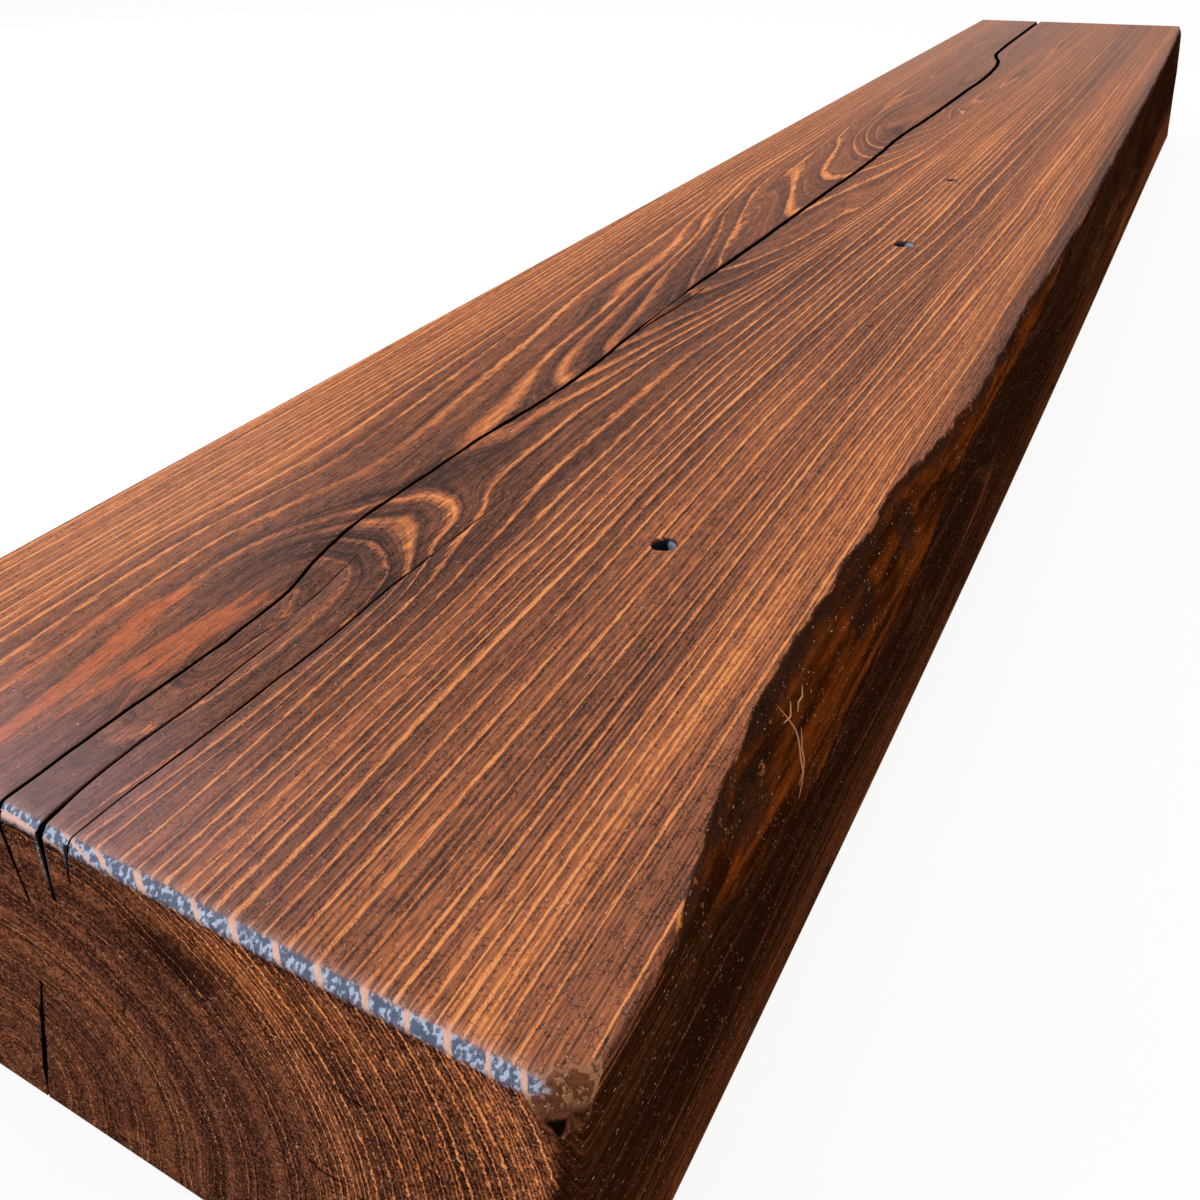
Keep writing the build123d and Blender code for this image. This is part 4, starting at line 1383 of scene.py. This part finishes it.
def beam_masks(points, moved, fresh, hollow):
    """Values of every attribute at the beam's points, in the order of ATTRIBUTES. The points
    before the ends were worn give the nail holes' places."""
    s, y, z = placed(moved)
    shade, ends = tone(moved)
    near = s - end_offset(y, z)
    arris = step(-0.3, 0.5, near) * step(3.2, 2.2, near) * step(HEIGHT - 3.4, HEIGHT - 2.2, z)
    # The band of the top beside the eased near arris, where a pale sheen is painted.
    halo = step(6.0, 2.4, near) * step(HEIGHT - 1.0, HEIGHT - 0.2, z)
    # The front, whose colour is darkened and warmed partly as painted shade, and golden zones of the
    # end.
    front = step(-60, -100, y) * (1 - step(121, 126, z)) * (1 - ends)
    front = front + 0.4 * ends * np.clip(patches(y, z, GOLDEN_END), 0, 1)
    # Painted shade: the chip's cavity below its lip and the near end's short cracks are darkened as
    # hollows.
    hollow = np.maximum(hollow, 0.85 * fresh * step(121.0, 116.5, z))
    hollow = np.maximum(hollow, 0.9 * cracks(y, z, ends * (s < LENGTH / 2)))
    return (ring_number(moved), shade, redness(moved), wane_mask(moved), hollow, arris, halo,
            ends, fresh, nail_mask(points, z), front, faintness(moved))


class MANTEL_OT_beam(Operator):
    """Build the waney, checked cypress beam and its stained finish"""

    bl_idname = "mantel.beam"
    bl_label = "Beam"

    def execute(self, context):
        finish, relief = context.scene.beam_finish, context.scene.beam_relief
        points, faces, hollow = build_beam(relief)
        moved, fresh = worn(points)
        material = cypress_material(finish, relief.grain)
        piece = add_piece("cypress_beam", moved, faces, material)
        for name, values in zip(ATTRIBUTES, beam_masks(points, moved, fresh, hollow)):
            layer = piece.data.attributes.new(name, "FLOAT", "POINT")
            layer.data.foreach_set("value", np.asarray(values, np.float32))
        piece.data.shade_smooth()
        piece.data.set_sharp_from_angle(angle=SHARP_PAST)
        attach(piece, "root")
        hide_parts("mantel_beam")
        return {"FINISHED"}


def add_lamp(name, place, target, size, power, colour):
    """Square area lamp that faces its target."""
    lamp = bpy.data.lights.new(name, "AREA")
    lamp.shape = "SQUARE"
    lamp.size = size
    lamp.energy = power
    lamp.color = colour
    place, target = Vector(place), Vector(target)
    turn = (target - place).to_track_quat("-Z", "Y").to_matrix().to_4x4()
    add_object(name, lamp).matrix_world = Matrix.Translation(place) @ turn


def add_camera():
    """The photograph's camera, from its place and axes. It looks against right x up."""
    camera = bpy.data.cameras.new("camera")
    camera.sensor_width = SENSOR_WIDTH
    camera.lens = CAMERA_LENS
    camera.clip_start = 0.01
    camera.clip_end = 50.0
    seat = add_object("camera", camera)
    right, up = Vector(CAMERA_RIGHT), Vector(CAMERA_UP)
    turn = Matrix((right, up, right.cross(up))).transposed()
    seat.matrix_world = Matrix.Translation(CAMERA_PLACE) @ turn.to_4x4()
    bpy.context.scene.camera = seat


def add_floor(backdrop):
    """Level floor that the camera sees almost as bright as the backdrop, and that still
    takes a faint shadow."""
    reach = FLOOR_REACH
    mesh = bpy.data.meshes.new("floor")
    corners = [(-reach, -reach, 0), (reach, -reach, 0), (reach, reach, 0), (-reach, reach, 0)]
    mesh.from_pydata(corners, [], [(0, 1, 2, 3)])
    material = bpy.data.materials.new("pale_floor")
    mesh.materials.append(material)
    m = Maker(material)
    matt = m.node("ShaderNodeBsdfDiffuse", None, {"Color": backdrop})
    glow = m.node("ShaderNodeEmission", None, {"Color": backdrop, "Strength": 1.0})
    mixed = m.node("ShaderNodeMixShader", None, {0: m.seen() * 0.9, 1: matt, 2: glow})
    m.node("ShaderNodeOutputMaterial", None, {"Surface": mixed})
    add_object("floor", mesh)


def add_daylight(backdrop, strength):
    """Even white light, and the backdrop for the rays that show what lies behind."""
    world = bpy.data.worlds.new("daylight")
    bpy.context.scene.world = world
    w = Maker(world)
    even = w.node("ShaderNodeBackground", None, {"Color": (1, 1, 1), "Strength": strength})
    plain = w.node("ShaderNodeBackground", None, {"Color": backdrop, "Strength": 1.0})
    both = w.node("ShaderNodeMixShader", None, {0: w.seen(), 1: even, 2: plain})
    w.node("ShaderNodeOutputWorld", None, {"Surface": both})


def on_wane(s, z, relief):
    """Y of the front or the wane at distances s and heights z, between the section's points
    below and above."""
    columns_y, columns_z = front_columns(s, relief)
    upper = np.clip((columns_z < z[:, None]).sum(1), 1, columns_z.shape[1] - 1)[:, None]
    z0, z1 = (np.take_along_axis(columns_z, upper - i, 1)[:, 0] for i in (1, 0))
    y0, y1 = (np.take_along_axis(columns_y, upper - i, 1)[:, 0] for i in (1, 0))
    return y0 + (y1 - y0) * (z - z0) / (z1 - z0)


def fibre_tube(path, relief):
    """A thin round fibre lying on the wane, pointed at both ends: a ring of points is carried
    along the path with the radius r = R sqrt(sin(pi t))."""
    path = np.array(path, float)
    t = np.linspace(0, len(path) - 1, 4 * len(path))
    s, z = (np.interp(t, np.arange(len(path)), path[:, i]) for i in (0, 1))
    middle = np.stack([NEAR_X + s, on_wane(s, z, relief) - FIBRE_STANDS_OFF, z], -1)
    ahead = np.gradient(middle, axis=0)
    ahead /= np.linalg.norm(ahead, axis=1)[:, None]
    side = np.cross(ahead, [0.0, 1.0, 0.3])
    side /= np.linalg.norm(side, axis=1)[:, None]
    out = np.cross(side, ahead)
    turn = np.arange(FIBRE_SIDES) * 2 * math.pi / FIBRE_SIDES
    radius = FIBRE_RADIUS * np.sqrt(np.sin(np.linspace(0, math.pi, len(t))).clip(0.0))
    spoke = np.cos(turn)[:, None] * side[:, None] + np.sin(turn)[:, None] * out[:, None]
    rings = middle[1:-1, None] + radius[1:-1, None, None] * spoke[1:-1]
    points = np.concatenate([rings.reshape(-1, 3), middle[:1], middle[-1:]])
    index = np.arange(rings.shape[0] * FIBRE_SIDES).reshape(-1, FIBRE_SIDES)
    around = np.roll(index, -1, 1)
    sides = np.stack([index[:-1], around[:-1], around[1:], index[1:]], -1)
    start, tip = np.full((2, FIBRE_SIDES), [[index.size], [index.size + 1]])
    faces = sides.reshape(-1, 4).tolist() + np.stack([start, around[0], index[0]], -1).tolist()
    return points, faces + np.stack([tip, index[-1], around[-1]], -1).tolist()


class MANTEL_OT_fibres(Operator):
    """Add the loose pale fibres on the waney edge"""

    bl_idname = "mantel.fibres"
    bl_label = "Loose fibres"

    def execute(self, context):
        finish, relief = context.scene.beam_finish, context.scene.beam_relief
        material = bpy.data.materials.new("loose_fibre")
        m = Maker(material)
        dry = {"Base Color": finish.fresh_wood, "Roughness": 0.6, "Specular IOR Level": 0.0}
        surface = m.node("ShaderNodeBsdfPrincipled", None, dry)
        m.node("ShaderNodeOutputMaterial", None, {"Surface": surface})
        points, faces, total = [], [], 0
        for path in FIBRES:
            tube, sides = fibre_tube(path, relief.wane * 1000)
            points.append(tube)
            faces += [[i + total for i in side] for side in sides]
            total += len(tube)
        piece = add_piece("loose_fibres", np.concatenate(points), faces, material)
        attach(piece, "root")
        return {"FINISHED"}


class MANTEL_OT_stage(Operator):
    """Add the pale floor, soft daylight and the camera at the photograph's angle"""

    bl_idname = "mantel.stage"
    bl_label = "Stage"

    def execute(self, context):
        look = context.scene.stage_look
        add_camera()
        add_floor(look.backdrop)
        add_daylight(look.backdrop, look.daylight)
        for lamp in LAMPS:
            add_lamp(*lamp)
        context.scene.view_settings.view_transform = "Standard"
        return {"FINISHED"}


class MANTEL_PT_panel(Panel):
    """Sidebar panel that lists the beam's builders"""

    bl_label = "Mantel Beam"
    bl_idname = "MANTEL_PT_panel"
    bl_space_type = "VIEW_3D"
    bl_region_type = "UI"
    bl_category = "Mantel Beam"

    def draw(self, context):
        layout = self.layout
        layout.operator(MANTEL_OT_beam.bl_idname)
        layout.operator(MANTEL_OT_fibres.bl_idname)
        for name in BeamFinish.__annotations__:
            layout.prop(context.scene.beam_finish, name)
        for name in BeamRelief.__annotations__:
            layout.prop(context.scene.beam_relief, name)
        layout.operator(MANTEL_OT_stage.bl_idname)
        for name in StageLook.__annotations__:
            layout.prop(context.scene.stage_look, name)


CLASSES = (BeamFinish, BeamRelief, StageLook, MANTEL_OT_beam, MANTEL_OT_fibres, MANTEL_OT_stage,
           MANTEL_PT_panel)


def register():
    for cls in CLASSES:
        bpy.utils.register_class(cls)
    bpy.types.Scene.beam_finish = PointerProperty(type=BeamFinish)
    bpy.types.Scene.beam_relief = PointerProperty(type=BeamRelief)
    bpy.types.Scene.stage_look = PointerProperty(type=StageLook)


def unregister():
    del bpy.types.Scene.stage_look
    del bpy.types.Scene.beam_relief
    del bpy.types.Scene.beam_finish
    for cls in reversed(CLASSES):
        bpy.utils.unregister_class(cls)


def main():
    register()
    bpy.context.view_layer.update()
    bpy.ops.mantel.beam()
    bpy.ops.mantel.fibres()
    bpy.ops.mantel.stage()
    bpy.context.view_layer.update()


if __name__ == "__main__":
    main()
